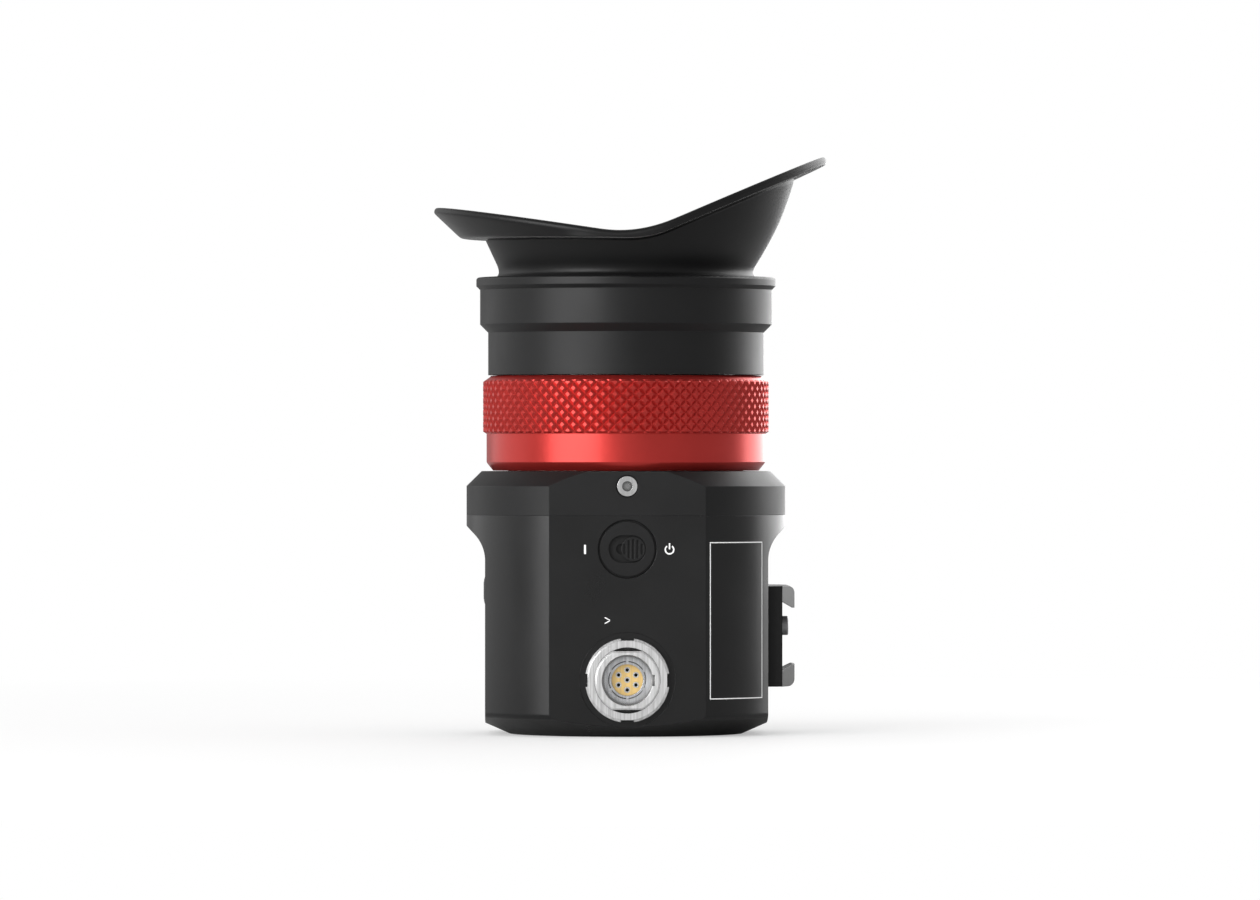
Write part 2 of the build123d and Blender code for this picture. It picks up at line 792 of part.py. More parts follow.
def make_top_cap():
    """Bevelled cover that closes the housing and carries the guide sleeve."""
    recess = foot_radius + seat_gap
    groove_low = cap_seat + (spigot_length - seal_groove_height) / 2
    with BuildPart() as cap:
        turned([
            (cap_bore_radius, cap_seat), (spigot_radius, cap_seat), (spigot_radius, body_height),
            (body_radius, body_height), (body_radius, cap_top - cap_bevel_height),
            (cap_bevel_radius, cap_top), (recess, cap_top), (recess, foot_low), (cap_bore_radius, foot_low),
        ])
        trim_to_flats(cap_seat, cap_top)
        tube(baffle_flange_radius + rest_gap, 0, baffle_flange_low, foot_low + overrun, mode=Mode.SUBTRACT)
        tube(spigot_radius + overrun, spigot_radius - seal_groove_depth, groove_low,
             groove_low + seal_groove_height, mode=Mode.SUBTRACT)
        cut_holes(tie_faces, tie_radius + thread_gap, tie_top + rest_gap)
        cut_holes(foot_screw_seats, foot_screw_radius + thread_gap,
                  foot_screw_seat - foot_screw_end + rest_gap)
        for seat in lock_screw_seats:
            drum(seat, lock_screw_recess_radius, lock_screw_head_height + overrun, mode=Mode.SUBTRACT)
            drum(seat, lock_screw_radius + rest_gap, foot_radius - lock_screw_seat - overrun,
                 mode=Mode.SUBTRACT)
    save(cap, "top_cap")


def make_cap_seal():
    """Sealing ring in the groove of the cap's spigot."""
    centre_radius = spigot_radius - seal_groove_depth + seal_wire_radius
    with BuildPart() as seal:
        with BuildSketch(Plane.XZ):
            with Locations((centre_radius, cap_seat + spigot_length / 2)):
                Circle(seal_wire_radius)
        revolve(axis=Axis.Z)
    save(seal, "cap_seal")


def make_tie_screws():
    """Four long sunk screws from the base cover up into the cap."""
    with BuildPart() as screws:
        add_sunk_screws(tie_faces, tie_head_radius, tie_head_height, tie_radius, tie_top)
    save(screws, "tie_screws")


def make_standoffs():
    """Spacer tubes round the tie screws, below, between and above the boards."""
    spans = [(floor_height, board_bottom), (board_top, carrier_bottom), (carrier_top, cap_seat)]
    with BuildPart() as standoffs:
        for low, high in spans:
            with BuildSketch(Plane.XY.offset(low)) as rings:
                with PolarLocations(tie_ring_radius, tie_count, start_angle=tie_start_angle):
                    Circle(standoff_radius)
                    Circle(tie_radius + seat_gap, mode=Mode.SUBTRACT)
            extrude(rings.sketch, amount=high - low)
    save(standoffs, "standoffs")


def make_main_board():
    """Round circuit board above the connector."""
    with BuildPart() as board:
        tube(board_radius, 0, board_bottom, board_top)
        cut_holes(tie_faces, tie_radius + seat_gap, board_top + overrun)
    save(board, "main_board")


def make_board_components():
    """Processor, memory, coils and flex socket soldered to the main board."""
    top = Plane.XY.offset(board_top)
    underside = Plane.XY.offset(board_bottom)
    with BuildPart() as chips:
        block(top, processor_size, processor_size, processor_height)
        block(top.shift_origin((-memory_offset, 0, board_top)), memory_width, memory_length, memory_height)
        for y in (-coil_pitch / 2, coil_pitch / 2):
            block(top.shift_origin((coil_offset_x, y, board_top)), coil_size, coil_size, coil_height)
        block(underside.shift_origin((0, -socket_offset_y, board_bottom)), socket_length, socket_width,
              -socket_height)
        chamfer(chips.edges().filter_by(Axis.Z), length=flex_thickness)
    save(chips, "board_components")


def make_display_carrier():
    """Plate that holds the display square to the optical axis."""
    with BuildPart() as carrier:
        tube(carrier_radius, 0, carrier_bottom, carrier_top)
        cut_holes(tie_faces, tie_radius + seat_gap, carrier_top + overrun)
        with BuildSketch(Plane.XY.offset(carrier_bottom - overrun)) as openings:
            Rectangle(carrier_window_x, carrier_window_y)
            with Locations((0, -carrier_radius)):
                Rectangle(front_notch_width, 2 * front_notch_depth)
            with Locations((-carrier_radius, 0)):
                Rectangle(2 * side_notch_depth, side_notch_width)
            with Locations((0, display_flex_y)):
                Rectangle(flex_slot_length, flex_slot_width)
        extrude(openings.sketch, amount=carrier_thickness + 2 * overrun, mode=Mode.SUBTRACT)
        cut_holes(clamp_screw_seats, pan_radius + thread_gap, clamp_screw_length + rest_gap)
    save(carrier, "display_carrier")


def make_display():
    """Backplane of the micro-display on its carrier, with the cover glass on it."""
    with BuildPart() as panel:
        block(Plane.XY.offset(carrier_top), panel_length, panel_width, panel_thickness)
    save(panel, "display_panel")
    with BuildPart() as glass:
        block(Plane.XY.offset(carrier_top + panel_thickness), glass_length, glass_width, glass_thickness)
    save(glass, "display_glass")


def make_display_clamp():
    """Frame that presses the display down on its carrier."""
    base = Plane.XY.offset(carrier_top)
    flex_reach = clamp_width - panel_width
    with BuildPart() as clamp:
        block(base, clamp_length, clamp_width, clamp_top - carrier_top)
        block(base, glass_length + 2 * rest_gap, glass_width + 2 * rest_gap, clamp_top, mode=Mode.SUBTRACT)
        block(base, panel_length + 2 * rest_gap, panel_width + 2 * rest_gap, panel_thickness,
              mode=Mode.SUBTRACT)
        block(base.shift_origin((0, clamp_width / 2, carrier_top)), flex_slot_length, flex_reach,
              panel_thickness, mode=Mode.SUBTRACT)
        cut_holes(clamp_screw_seats, pan_radius + seat_gap, clamp_top - carrier_top)
        with Locations(*clamp_screw_seats):
            Cylinder(pan_head_radius + seat_gap, clamp_top, align=outwards, mode=Mode.SUBTRACT)
    save(clamp, "display_clamp")


def make_small_screws():
    """Pan-head screws of the display clamp, the power switch and the button board."""
    with BuildPart() as clamp_screws:
        add_headed_screws(clamp_screw_seats, pan_head_radius, pan_head_height, pan_radius, pan_radius,
                          clamp_screw_length)
    save(clamp_screws, "clamp_screws")
    with BuildPart() as switch_screws:
        add_headed_screws(switch_screw_seats, pan_head_radius, pan_head_height, pan_radius, pan_radius,
                          pan_length)
    save(switch_screws, "switch_screws")
    with BuildPart() as button_screws:
        add_headed_screws(button_screw_seats, pan_head_radius, pan_head_height, pan_radius, pan_radius,
                          pan_length)
    save(button_screws, "button_screws")


def make_light_baffle():
    """Ribbed shroud that keeps stray light off the display."""
    outer = cap_bore_radius - seat_gap
    with BuildPart() as baffle:
        turned([
            (baffle_low_bore_radius, baffle_low), (outer, baffle_low), (outer, baffle_flange_low),
            (baffle_flange_radius, baffle_flange_low), (baffle_flange_radius, foot_low),
            (baffle_top_bore_radius, foot_low),
        ])
        for index in range(1, baffle_rib_count + 1):
            share = index / (baffle_rib_count + 1)
            low = baffle_low + (foot_low - baffle_low) * share
            bore = baffle_low_bore_radius + (baffle_top_bore_radius - baffle_low_bore_radius) * share
            tube(bore + baffle_rib_depth, 0, low, low + baffle_rib_depth, mode=Mode.SUBTRACT)
    save(baffle, "light_baffle")


def make_flex(points, width, side, label):
    """Flat ribbon whose bent outline is drawn on the side plane, `width` wide about it."""
    with BuildPart() as flex:
        with BuildSketch(side) as outline:
            with BuildLine():
                Polyline(*points, close=True)
            make_face()
        extrude(outline.sketch, amount=width / 2, both=True)
    save(flex, label)


def make_flexes():
    """Ribbons from the display, the switch, the connector and the side button to the main board."""
    inner = display_flex_y - flex_thickness / 2
    outer = inner + flex_thickness
    land_top = board_top + flex_thickness
    make_flex([
        (inner, board_top), (inner, carrier_top), (panel_width / 2, carrier_top),
        (panel_width / 2, carrier_top + flex_thickness), (outer, carrier_top + flex_thickness),
        (outer, land_top), (outer + flex_land, land_top), (outer + flex_land, board_top),
    ], display_flex_width, Plane.YZ, "display_flex")
    rear = -switch_rear + flex_thickness
    make_flex([
        (-switch_rear, board_top), (-switch_rear, switch_height), (rear, switch_height), (rear, land_top),
        (rear + flex_land, land_top), (rear + flex_land, board_top),
    ], switch_flex_width, Plane.YZ, "switch_flex")
    low = connector_height - contact_pitch - connector_flex_margin
    near = -contact_rear
    far = near + flex_thickness
    land_end = -(socket_offset_y + socket_width / 2)
    make_flex([
        (near, low), (far, low), (far, board_bottom - flex_thickness),
        (land_end, board_bottom - flex_thickness), (land_end, board_bottom), (near, board_bottom),
    ], connector_flex_width, Plane.YZ, "connector_flex")
    wall = -button_board_back
    inside = wall + flex_thickness
    top = button_height - button_board_width / 2 + flex_land
    make_flex([
        (wall, board_top), (wall, top), (inside, top), (inside, land_top),
        (inside + flex_land, land_top), (inside + flex_land, board_top),
    ], button_flex_width, Plane.XZ, "button_flex")


def make_guide_sleeve():
    """Fixed sleeve with a foot and three straight slots that keep the eyepiece from turning."""
    wall = sleeve_radius - sleeve_bore_radius
    with BuildPart() as sleeve:
        turned([
            (sleeve_bore_radius, foot_low), (foot_radius, foot_low), (foot_radius, foot_high),
            (sleeve_radius, foot_high), (sleeve_radius, sleeve_top), (sleeve_bore_radius, sleeve_top),
        ])
        tube(sleeve_radius + overrun, sleeve_radius - clip_groove_depth, clip_low,
             clip_low + clip_thickness, mode=Mode.SUBTRACT)
        for angle in follower_angles():
            middle = follower_height + eyepiece_travel / 2
            with BuildSketch(radial_plane(angle, sleeve_bore_radius - overrun, middle)) as slot:
                SlotCenterToCenter(eyepiece_travel, 2 * (follower_radius + follower_gap), rotation=90)
            extrude(slot.sketch, amount=wall + 2 * overrun, mode=Mode.SUBTRACT)
        for seat in foot_screw_seats:
            drum(seat, foot_screw_head_radius + seat_gap, foot_screw_head_height + overrun,
                 mode=Mode.SUBTRACT)
        cut_holes(foot_screw_seats, foot_screw_radius + seat_gap, foot_high - foot_low)
        cut_holes(lock_screw_seats, lock_screw_radius + thread_gap,
                  lock_screw_seat - lock_screw_end + rest_gap)
    save(sleeve, "guide_sleeve")


def make_foot_screws():
    """Four socket screws that fasten the sleeve's foot to the cap."""
    with BuildPart() as screws:
        add_headed_screws(foot_screw_seats, foot_screw_head_radius, foot_screw_head_height,
                          foot_screw_radius, foot_screw_radius, foot_screw_seat - foot_screw_end)
    save(screws, "foot_screws")


def make_lock_screws():
    """Two radial screws, front and back, that lock cap and sleeve together."""
    with BuildPart() as screws:
        add_headed_screws(lock_screw_seats, lock_screw_head_radius, lock_screw_head_height,
                          lock_screw_socket_radius, lock_screw_radius, lock_screw_seat - lock_screw_end)
    save(screws, "lock_screws")


def make_thrust_washers():
    """Low-friction washers under and over the cam ring."""
    with BuildPart() as washers:
        for low in (washer_low, washer_high):
            tube(washer_radius, sleeve_radius + running_gap, low, low + washer_thickness)
    save(washers, "thrust_washers")


def make_retaining_clip():
    """Open clip in the sleeve's groove that keeps the cam ring on."""
    reach = clip_radius + overrun
    side = reach * tan(radians(clip_opening_angle / 2))
    with BuildPart() as clip:
        tube(clip_radius, sleeve_radius - clip_groove_depth + thread_gap, clip_low + thread_gap,
             clip_low + clip_thickness - thread_gap)
        with BuildSketch(Plane.XY.offset(clip_low - overrun)) as opening:
            with BuildLine():
                Polyline((0, 0), (reach, side), (reach, -side), close=True)
            make_face()
        extrude(opening.sketch, amount=clip_thickness + 2 * overrun, mode=Mode.SUBTRACT)
    save(clip, "retaining_clip")


def make_focus_ring():
    """Grip ring: a plain lower band and a wider upper band that takes the fingers."""
    with BuildPart() as ring:
        turned([
            (ring_bore_radius, ring_bottom), (ring_foot_radius, ring_bottom),
            (ring_band_radius, ring_band_low), (ring_band_radius, ring_grip_low),
            (ring_grip_radius, ring_grip_low + ring_grip_bevel),
            (ring_grip_radius, ring_grip_high), (ring_crown_radius, ring_top - ring_crown_bevel),
            (ring_crown_radius - ring_crown_bevel, ring_top), (ring_ledge_radius, ring_top),
            (ring_ledge_radius, ring_ledge_height), (ring_bore_radius, ring_ledge_height),
        ])
        cut_holes(cam_screw_faces, cam_screw_radius + thread_gap, cam_screw_length + rest_gap)
    save(ring, "focus_ring")


def make_cam_ring():
    """Inner ring whose helical grooves lift the three followers as it turns."""
    lead = eyepiece_travel * 360 / ring_turn_angle
    groove_radius = cam_bore_radius + (cam_groove_depth - overrun) / 2
    groove_width = 2 * (follower_radius + follower_gap)
    outer = ring_bore_radius - seat_gap
    with BuildPart() as groove:
        with BuildLine(Plane.XY.offset(follower_height)) as path:
            Helix(pitch=lead, height=eyepiece_travel, radius=groove_radius, lefthand=True)
        with BuildSketch(Plane(origin=path.line @ 0, x_dir=(1, 0, 0), z_dir=path.line % 0)) as section:
            Rectangle(cam_groove_depth + overrun, groove_width)
        sweep(section.sketch, path=path.line, is_frenet=True)
        drum(radial_plane(0, cam_bore_radius - overrun, follower_height), groove_width / 2,
             cam_groove_depth + overrun)
        drum(radial_plane(-ring_turn_angle, cam_bore_radius - overrun, follower_height + eyepiece_travel),
             groove_width / 2, cam_groove_depth + overrun)
    with BuildPart() as cam:
        turned([
            (cam_bore_radius, cam_bottom), (outer, cam_bottom), (outer, ring_ledge_height),
            (cam_flange_radius, ring_ledge_height), (cam_flange_radius, cam_flange_top),
            (cam_bore_radius, cam_flange_top),
        ])
        with PolarLocations(0, follower_count, start_angle=follower_start_angle):
            add(groove.part, mode=Mode.SUBTRACT)
        cut_sunk_holes(cam_screw_faces, cam_screw_head_radius, cam_screw_head_height, cam_screw_radius,
                       cam_screw_length)
    save(cam, "cam_ring")


def make_cam_screws():
    """Three sunk screws that join cam ring and focus ring."""
    with BuildPart() as screws:
        add_sunk_screws(cam_screw_faces, cam_screw_head_radius, cam_screw_head_height, cam_screw_radius,
                        cam_screw_length)
    save(screws, "cam_screws")


def make_cam_followers():
    """Three radial pins from the lens tube through the sleeve's slots into the cam grooves."""
    reach = cam_bore_radius + cam_groove_depth - 2 * rest_gap
    with BuildPart() as followers:
        for angle in follower_angles():
            drum(radial_plane(angle, follower_inner, follower_height), follower_radius,
                 reach - follower_inner)
    save(followers, "cam_followers")


def make_eyepiece_barrel():
    """Outer barrel: a skirt above the focus ring, a wider collar and a lip round the eyecup."""
    bore = tube_radius + seat_gap
    with BuildPart() as barrel:
        turned([
            (skirt_bore_radius, skirt_bottom), (skirt_radius, skirt_bottom), (skirt_radius, skirt_top),
            (collar_radius, skirt_top + collar_radius - skirt_radius), (collar_radius, collar_top),
            (lip_radius, collar_top + lip_radius - collar_radius), (lip_radius, lip_top),
            (recess_radius, lip_top), (recess_radius, shelf_height), (collar_bore_radius, shelf_height),
            (collar_bore_radius, web_high), (bore, web_high), (bore, web_low), (skirt_bore_radius, web_low),
        ])
        rim_edges = barrel.edges().filter_by(GeomType.CIRCLE).group_by(Axis.Z)[-1]
        fillet(rim_edges.sort_by(SortBy.RADIUS)[-1], radius=lip_round)
        cut_holes(barrel_screw_faces, barrel_screw_radius + thread_gap, barrel_screw_length + rest_gap)
    save(barrel, "eyepiece_barrel")


def make_lens_tube():
    """Inner tube that carries the glass and slides in the guide sleeve."""
    with BuildPart() as holder:
        turned([
            (seat_radius, tube_bottom), (tube_radius, tube_bottom), (tube_radius, web_high),
            (tube_flange_radius, web_high), (tube_flange_radius, tube_flange_top),
            (tube_radius, tube_flange_top), (tube_radius, tube_top), (lens_bore_radius, tube_top),
            (lens_bore_radius, lens_seat), (seat_radius, lens_seat),
        ])
        for angle in follower_angles():
            drum(radial_plane(angle, lens_radius, follower_height), follower_radius + thread_gap,
                 tube_radius - lens_radius + overrun, mode=Mode.SUBTRACT)
        cut_sunk_holes(barrel_screw_faces, barrel_screw_head_radius, barrel_screw_head_height,
                       barrel_screw_radius, barrel_screw_length)
    save(holder, "lens_tube")


def make_barrel_screws():
    """Three sunk screws that join lens tube and barrel."""
    with BuildPart() as screws:
        add_sunk_screws(barrel_screw_faces, barrel_screw_head_radius, barrel_screw_head_height,
                        barrel_screw_radius, barrel_screw_length)
    save(screws, "barrel_screws")


def dome_height(sag):
    """Height of a spherical surface half-way out, where it stands `sag` high on the axis."""
    ball = (lens_clear_radius**2 + sag**2) / (2 * abs(sag))
    return sag - copysign(ball - sqrt(ball**2 - (lens_clear_radius / 2) ** 2), sag)


def make_lens(rear, front, rear_sag, front_sag, label):
    """Round lens with a flat seating rim, its two surfaces bulging outwards by their sags."""
    edge = lens_clear_radius
    with BuildPart() as lens:
        with BuildSketch(Plane.XZ) as outline:
            with BuildLine():
                Line((0, rear - rear_sag), (0, front + front_sag))
                ThreePointArc((0, front + front_sag), (edge / 2, front + dome_height(front_sag)),
                              (edge, front))
                Polyline((edge, front), (lens_radius, front), (lens_radius, rear), (edge, rear))
                ThreePointArc((edge, rear), (edge / 2, rear - dome_height(rear_sag)), (0, rear - rear_sag))
            make_face()
        revolve(outline.sketch, axis=Axis.Z)
    save(lens, label)


def make_lens_stack():
    """Glass, spacers and retainer, stacked from the seat at the lower end of the lens tube."""
    make_lens(lens_seat, field_lens_front, field_lens_rear_sag, field_lens_front_sag, "field_lens")
    make_lens(crown_rear, crown_front, crown_rear_sag, cement_sag, "doublet_crown")
    make_lens(crown_front, flint_front, -cement_sag, flint_front_sag, "doublet_flint")
    make_lens(eye_lens_rear, eye_lens_front, eye_lens_rear_sag, eye_lens_front_sag, "eye_lens")
    with BuildPart() as spacers:
        tube(lens_radius, seat_radius, field_lens_front, crown_rear)
        tube(lens_radius, seat_radius, flint_front, eye_lens_rear)
    save(spacers, "lens_spacers")
    with BuildPart() as retainer:
        tube(lens_radius, seat_radius, eye_lens_front, retainer_top)
        block(Plane.XY.offset(retainer_top), 2 * (lens_radius + overrun), retainer_slot_width,
              -retainer_slot_depth, mode=Mode.SUBTRACT)
    save(retainer, "lens_retainer")


def make_ocular_cover():
    """Bevelled ring that hides the screws round the eye lens."""
    inner = tube_radius + seat_gap
    outer = collar_bore_radius - rest_gap
    with BuildPart() as ring:
        turned([
            (inner, tube_flange_top), (outer, tube_flange_top), (outer, ocular_cover_top),
            (inner + ocular_cover_bevel, ocular_cover_top), (inner, ocular_cover_top - ocular_cover_bevel),
        ])
    save(ring, "ocular_cover")


def make_eyecup_retainer():
    """Slotted ring that traps the eyecup's ring in the barrel."""
    inner = eyecup_hub_radius + rest_gap
    top = lip_top - rest_gap
    with BuildPart() as ring:
        tube(recess_radius - thread_gap, inner, eyecup_flange_top + rest_gap, top)
        block(Plane.XY.offset(top), 2 * (recess_radius + overrun), retainer_slot_width,
              -retainer_slot_depth, mode=Mode.SUBTRACT)
    save(ring, "eyecup_retainer")


def make_eyecup_ring():
    """Stiff ring round the eyecup's foot that turns in the barrel's recess."""
    outer = recess_radius - rest_gap
    with BuildPart() as ring:
        turned([
            (plug_radius, eyecup_low), (outer, eyecup_low), (outer, eyecup_flange_top),
            (eyecup_hub_radius, eyecup_flange_top), (eyecup_hub_radius, eyecup_hub_top),
            (plug_radius, eyecup_hub_top),
        ])
    save(ring, "eyecup_ring")


def rim_line(lift, reach):
    """Left end, low point and right end of the rim's side view, raised by `lift`."""
    left = tan(radians(rim_left_angle)) * (reach + rim_low_x)
    right = tan(radians(rim_right_angle)) * (reach - rim_low_x)
    low = rim_low_z + lift
    return (-reach, low + left), (rim_low_x, low), (reach, low + right)


def make_eyecup():
    """Rubber cup: a flared cone on a plug, with a thin slanting rim and a curled wing on its low side."""
    reach = rim_half_length + rim_centre_x + overrun
    left, low_point, right = rim_line(0, reach)
    roof = right[1] + overrun
    mouth_radius = throat_radius + (roof - throat_height) * tan(radians(cone_angle))
    under_left, under_low, under_right = rim_line(-rim_thickness / cos(radians(rim_right_angle)), reach)
    knee_x = rim_low_x + (wing_floor - under_low[1]) / tan(radians(rim_right_angle))
    wing_reach = wing_corner_radius + left[1] - wing_floor

    with BuildPart() as brim:
        with BuildSketch(Plane.XZ) as brim_side:
            with BuildLine():
                Polyline((-reach, wing_floor), (knee_x, wing_floor), under_right, (reach, roof),
                         (-reach, roof), close=True)
            make_face()
        extrude(brim_side.sketch, amount=reach, both=True)
        with BuildSketch(Plane.XY.offset(wing_floor)) as brim_plan:
            with Locations((rim_centre_x, 0)):
                Ellipse(rim_half_length, rim_half_width)
        extrude(brim_plan.sketch, amount=roof - wing_floor, mode=Mode.INTERSECT)
        turned([
            (0, wing_floor), (wing_corner_radius, wing_floor),
            (wing_corner_radius + roof - wing_floor, roof), (0, roof),
        ], mode=Mode.INTERSECT)

    with BuildPart() as cup:
        add(brim.part)
        turned([
            (0, eyecup_low), (plug_radius, eyecup_low), (plug_radius, eyecup_hub_top),
            (cup_foot_radius, eyecup_hub_top), (throat_radius, throat_height), (mouth_radius, roof),
            (0, roof),
        ])
        with BuildSketch(Plane.XZ) as above_rim:
            with BuildLine():
                FilletPolyline(left, low_point, right, radius=rim_blend_radius)
                Polyline(right, (reach, roof + overrun), (-reach, roof + overrun), left)
            make_face()
        extrude(above_rim.sketch, amount=reach, both=True, mode=Mode.SUBTRACT)
        turned([
            (0, eyecup_low - overrun), (plug_bore_radius, eyecup_low - overrun),
            (plug_bore_radius, eyecup_hub_top), (throat_radius - cup_wall, throat_height),
            (mouth_radius - cup_wall, roof), (0, roof),
        ], mode=Mode.SUBTRACT)
        inner_floor = wing_floor + wing_wall
        inner_corner = wing_corner_radius - wing_wall
        with BuildSketch(Plane.YZ) as wing_side:
            with BuildLine():
                Polyline((0, inner_floor), (inner_corner, inner_floor),
                         (inner_corner + roof - inner_floor, roof), (0, roof), close=True)
            make_face()
        revolve(wing_side.sketch, axis=Axis.Z, revolution_arc=180, mode=Mode.SUBTRACT)
    save(cup, "eyecup")


def make_switch_bezel():
    """Disc in the round window with the knob's well, the carrier's pocket and two ears for screws."""
    with BuildPart() as bezel:
        drum(front_plane(front_flat, switch_height), switch_disc_radius, -(front_flat - inner_face))
        collar_front = front_plane(front_flat - switch_groove_depth, switch_height)
        drum(collar_front, switch_hole_radius - seat_gap, -(front_flat - switch_groove_depth - inner_face))
        block(front_plane(inner_face, switch_height), switch_ear_length, switch_ear_width,
              -(inner_face - switch_back))
        with BuildSketch(front_plane(front_flat, switch_height)) as well:
            SlotOverall(switch_well_length, switch_well_width)
        extrude(well.sketch, amount=-switch_well_depth, mode=Mode.SUBTRACT)
        with BuildSketch(front_plane(front_flat, switch_height)) as slot:
            SlotOverall(switch_slot_length, switch_slot_width)
        extrude(slot.sketch, amount=-(front_flat - switch_back + overrun), mode=Mode.SUBTRACT)
        block(front_plane(switch_web_back, switch_height), carrier_pocket_length, carrier_pocket_width,
              -(switch_web_back - switch_back + overrun), mode=Mode.SUBTRACT)
        cut_holes(switch_screw_seats, pan_radius + seat_gap, pan_length)
    save(bezel, "switch_bezel")


def make_switch_carrier():
    """Sliding block on the knob's stem that keeps the slot behind the knob closed."""
    with BuildPart() as carrier:
        block(front_plane(switch_web_back - seat_gap, switch_height, switch_travel / 2), carrier_length,
              carrier_width, -(switch_web_back - switch_back - seat_gap - rest_gap))
        drum(front_plane(front_flat, switch_height, switch_travel / 2), knob_stem_radius + thread_gap,
             -front_flat, mode=Mode.SUBTRACT)
    save(carrier, "switch_carrier")


def make_switch_knob():
    """Round sliding knob with five finger grooves and a stem into the switch."""
    centre_x = switch_travel / 2
    top = front_flat - knob_sink
    bottom = switch_well_floor + seat_gap
    with BuildPart() as knob:
        drum(front_plane(bottom, switch_height, centre_x), knob_radius, top - bottom)
        drum(front_plane(bottom, switch_height, centre_x), knob_stem_radius,
             -(bottom - switch_back + knob_stem_depth))
        for index in range(knob_groove_count):
            shift = (index - (knob_groove_count - 1) / 2) * knob_groove_pitch
            length = 2 * sqrt((knob_radius - knob_groove_margin) ** 2 - shift**2)
            with BuildSketch(front_plane(top, switch_height, centre_x + shift)) as groove:
                SlotOverall(length, knob_groove_width, rotation=90)
            extrude(groove.sketch, amount=-knob_groove_depth, mode=Mode.SUBTRACT)
    save(knob, "switch_knob")


def make_switch_body():
    """Slide switch behind the bezel, with a slot for the knob's stem."""
    back = front_plane(switch_back, switch_height)
    with BuildPart() as body:
        block(back, switch_body_length, switch_body_width, -switch_body_depth)
        with BuildSketch(back) as slot:
            SlotOverall(switch_slot_length, switch_slot_width)
        extrude(slot.sketch, amount=-(knob_stem_depth + 2 * rest_gap), mode=Mode.SUBTRACT)
    save(body, "switch_body")


def make_button_bezel():
    """Conical escutcheon pressed into the side wall."""
    outer = left_plane(side_flat, button_height)
    with BuildPart() as bezel:
        drum(outer, button_shank_radius, -button_shank_length)
        with Locations(outer):
            Cone(button_bezel_radius, button_bezel_top_radius, button_bezel_proud, align=outwards)
        drum(outer.offset(button_bezel_proud), button_radius + seat_gap,
             -(button_bezel_proud + side_flat), mode=Mode.SUBTRACT)
        drum(left_plane(button_flange_front + seat_gap, button_height), button_flange_radius + seat_gap,
             -button_flange_front, mode=Mode.SUBTRACT)
    save(bezel, "button_bezel")


def make_side_button():
    """Push button with a stop flange and a stem that reaches the push switch."""
    flange_back = button_flange_front - button_flange_thickness
    stem_end = tact_front + seat_gap
    with BuildPart() as button:
        drum(left_plane(button_flange_front, button_height), button_radius,
             side_flat + button_proud - button_flange_front)
        drum(left_plane(flange_back, button_height), button_flange_radius, button_flange_thickness)
        drum(left_plane(stem_end, button_height), button_stem_radius, flange_back - stem_end)
    save(button, "side_button")


def make_button_switch():
    """Push switch with a recess for the button's stem, and the small board behind it."""
    with BuildPart() as tact:
        block(left_plane(inner_face, button_height), tact_size, tact_size, tact_depth)
        drum(left_plane(tact_front, button_height), button_stem_radius + rest_gap, -tact_recess_depth,
             mode=Mode.SUBTRACT)
    save(tact, "button_switch")
    with BuildPart() as board:
        block(left_plane(inner_face, button_height), button_board_length, button_board_width,
              -button_board_thickness)
        cut_holes(button_screw_seats, pan_radius + seat_gap, pan_length)
    save(board, "button_board")


def make_connector_shell():
    """Threaded socket shell with flats, a keyed bore and an inner flange."""
    with BuildPart() as shell:
        with BuildSketch(front_plane(connector_seat, connector_height)) as neck:
            Circle(connector_radius)
            Rectangle(2 * connector_radius, connector_flats, mode=Mode.INTERSECT)
        extrude(neck.sketch, amount=connector_front - connector_seat)
        chamfer(shell.faces().sort_by(Axis.Y)[0].outer_wire().edges(), length=connector_edge_bevel)
        drum(front_plane(connector_seat, connector_height), connector_flange_radius,
             -connector_flange_thickness)
        drum(front_plane(connector_seat, connector_height), connector_rear_radius,
             -(connector_seat - connector_rear))
        drum(front_plane(connector_front, connector_height), connector_bore_radius, -connector_bore_depth,
             mode=Mode.SUBTRACT)
        drum(front_plane(connector_front, connector_height), crown_radius + thread_gap,
             -connector_front, mode=Mode.SUBTRACT)
        key_plane = front_plane(connector_front, connector_height, connector_key_radius / 2)
        block(key_plane, connector_key_radius, connector_key_width, -connector_bore_depth, mode=Mode.SUBTRACT)
    save(shell, "connector_shell")


def make_connector_nut():
    """Slotted ring nut that clamps the connector to the control face."""
    seat = front_plane(nut_seat, connector_height)
    with BuildPart() as nut:
        drum(seat, nut_radius, nut_thickness)
        chamfer(nut.faces().sort_by(Axis.Y)[0].edges(), length=nut_bevel)
        drum(seat, connector_radius + thread_gap, nut_thickness, mode=Mode.SUBTRACT)
        with BuildSketch(seat) as notches:
            with PolarLocations(nut_radius, nut_notch_count):
                Rectangle(2 * nut_notch_depth, nut_notch_width)
        extrude(notches.sketch, amount=nut_thickness, mode=Mode.SUBTRACT)
    save(nut, "connector_nut")


def make_connector_seal():
    """Flat rubber washer between the connector's flange and the housing wall."""
    seat = front_plane(connector_seat, connector_height)
    with BuildPart() as seal:
        drum(seat, connector_flange_radius, connector_seal_thickness)
        drum(seat, connector_radius + seat_gap, connector_seal_thickness, mode=Mode.SUBTRACT)
    save(seal, "connector_seal")


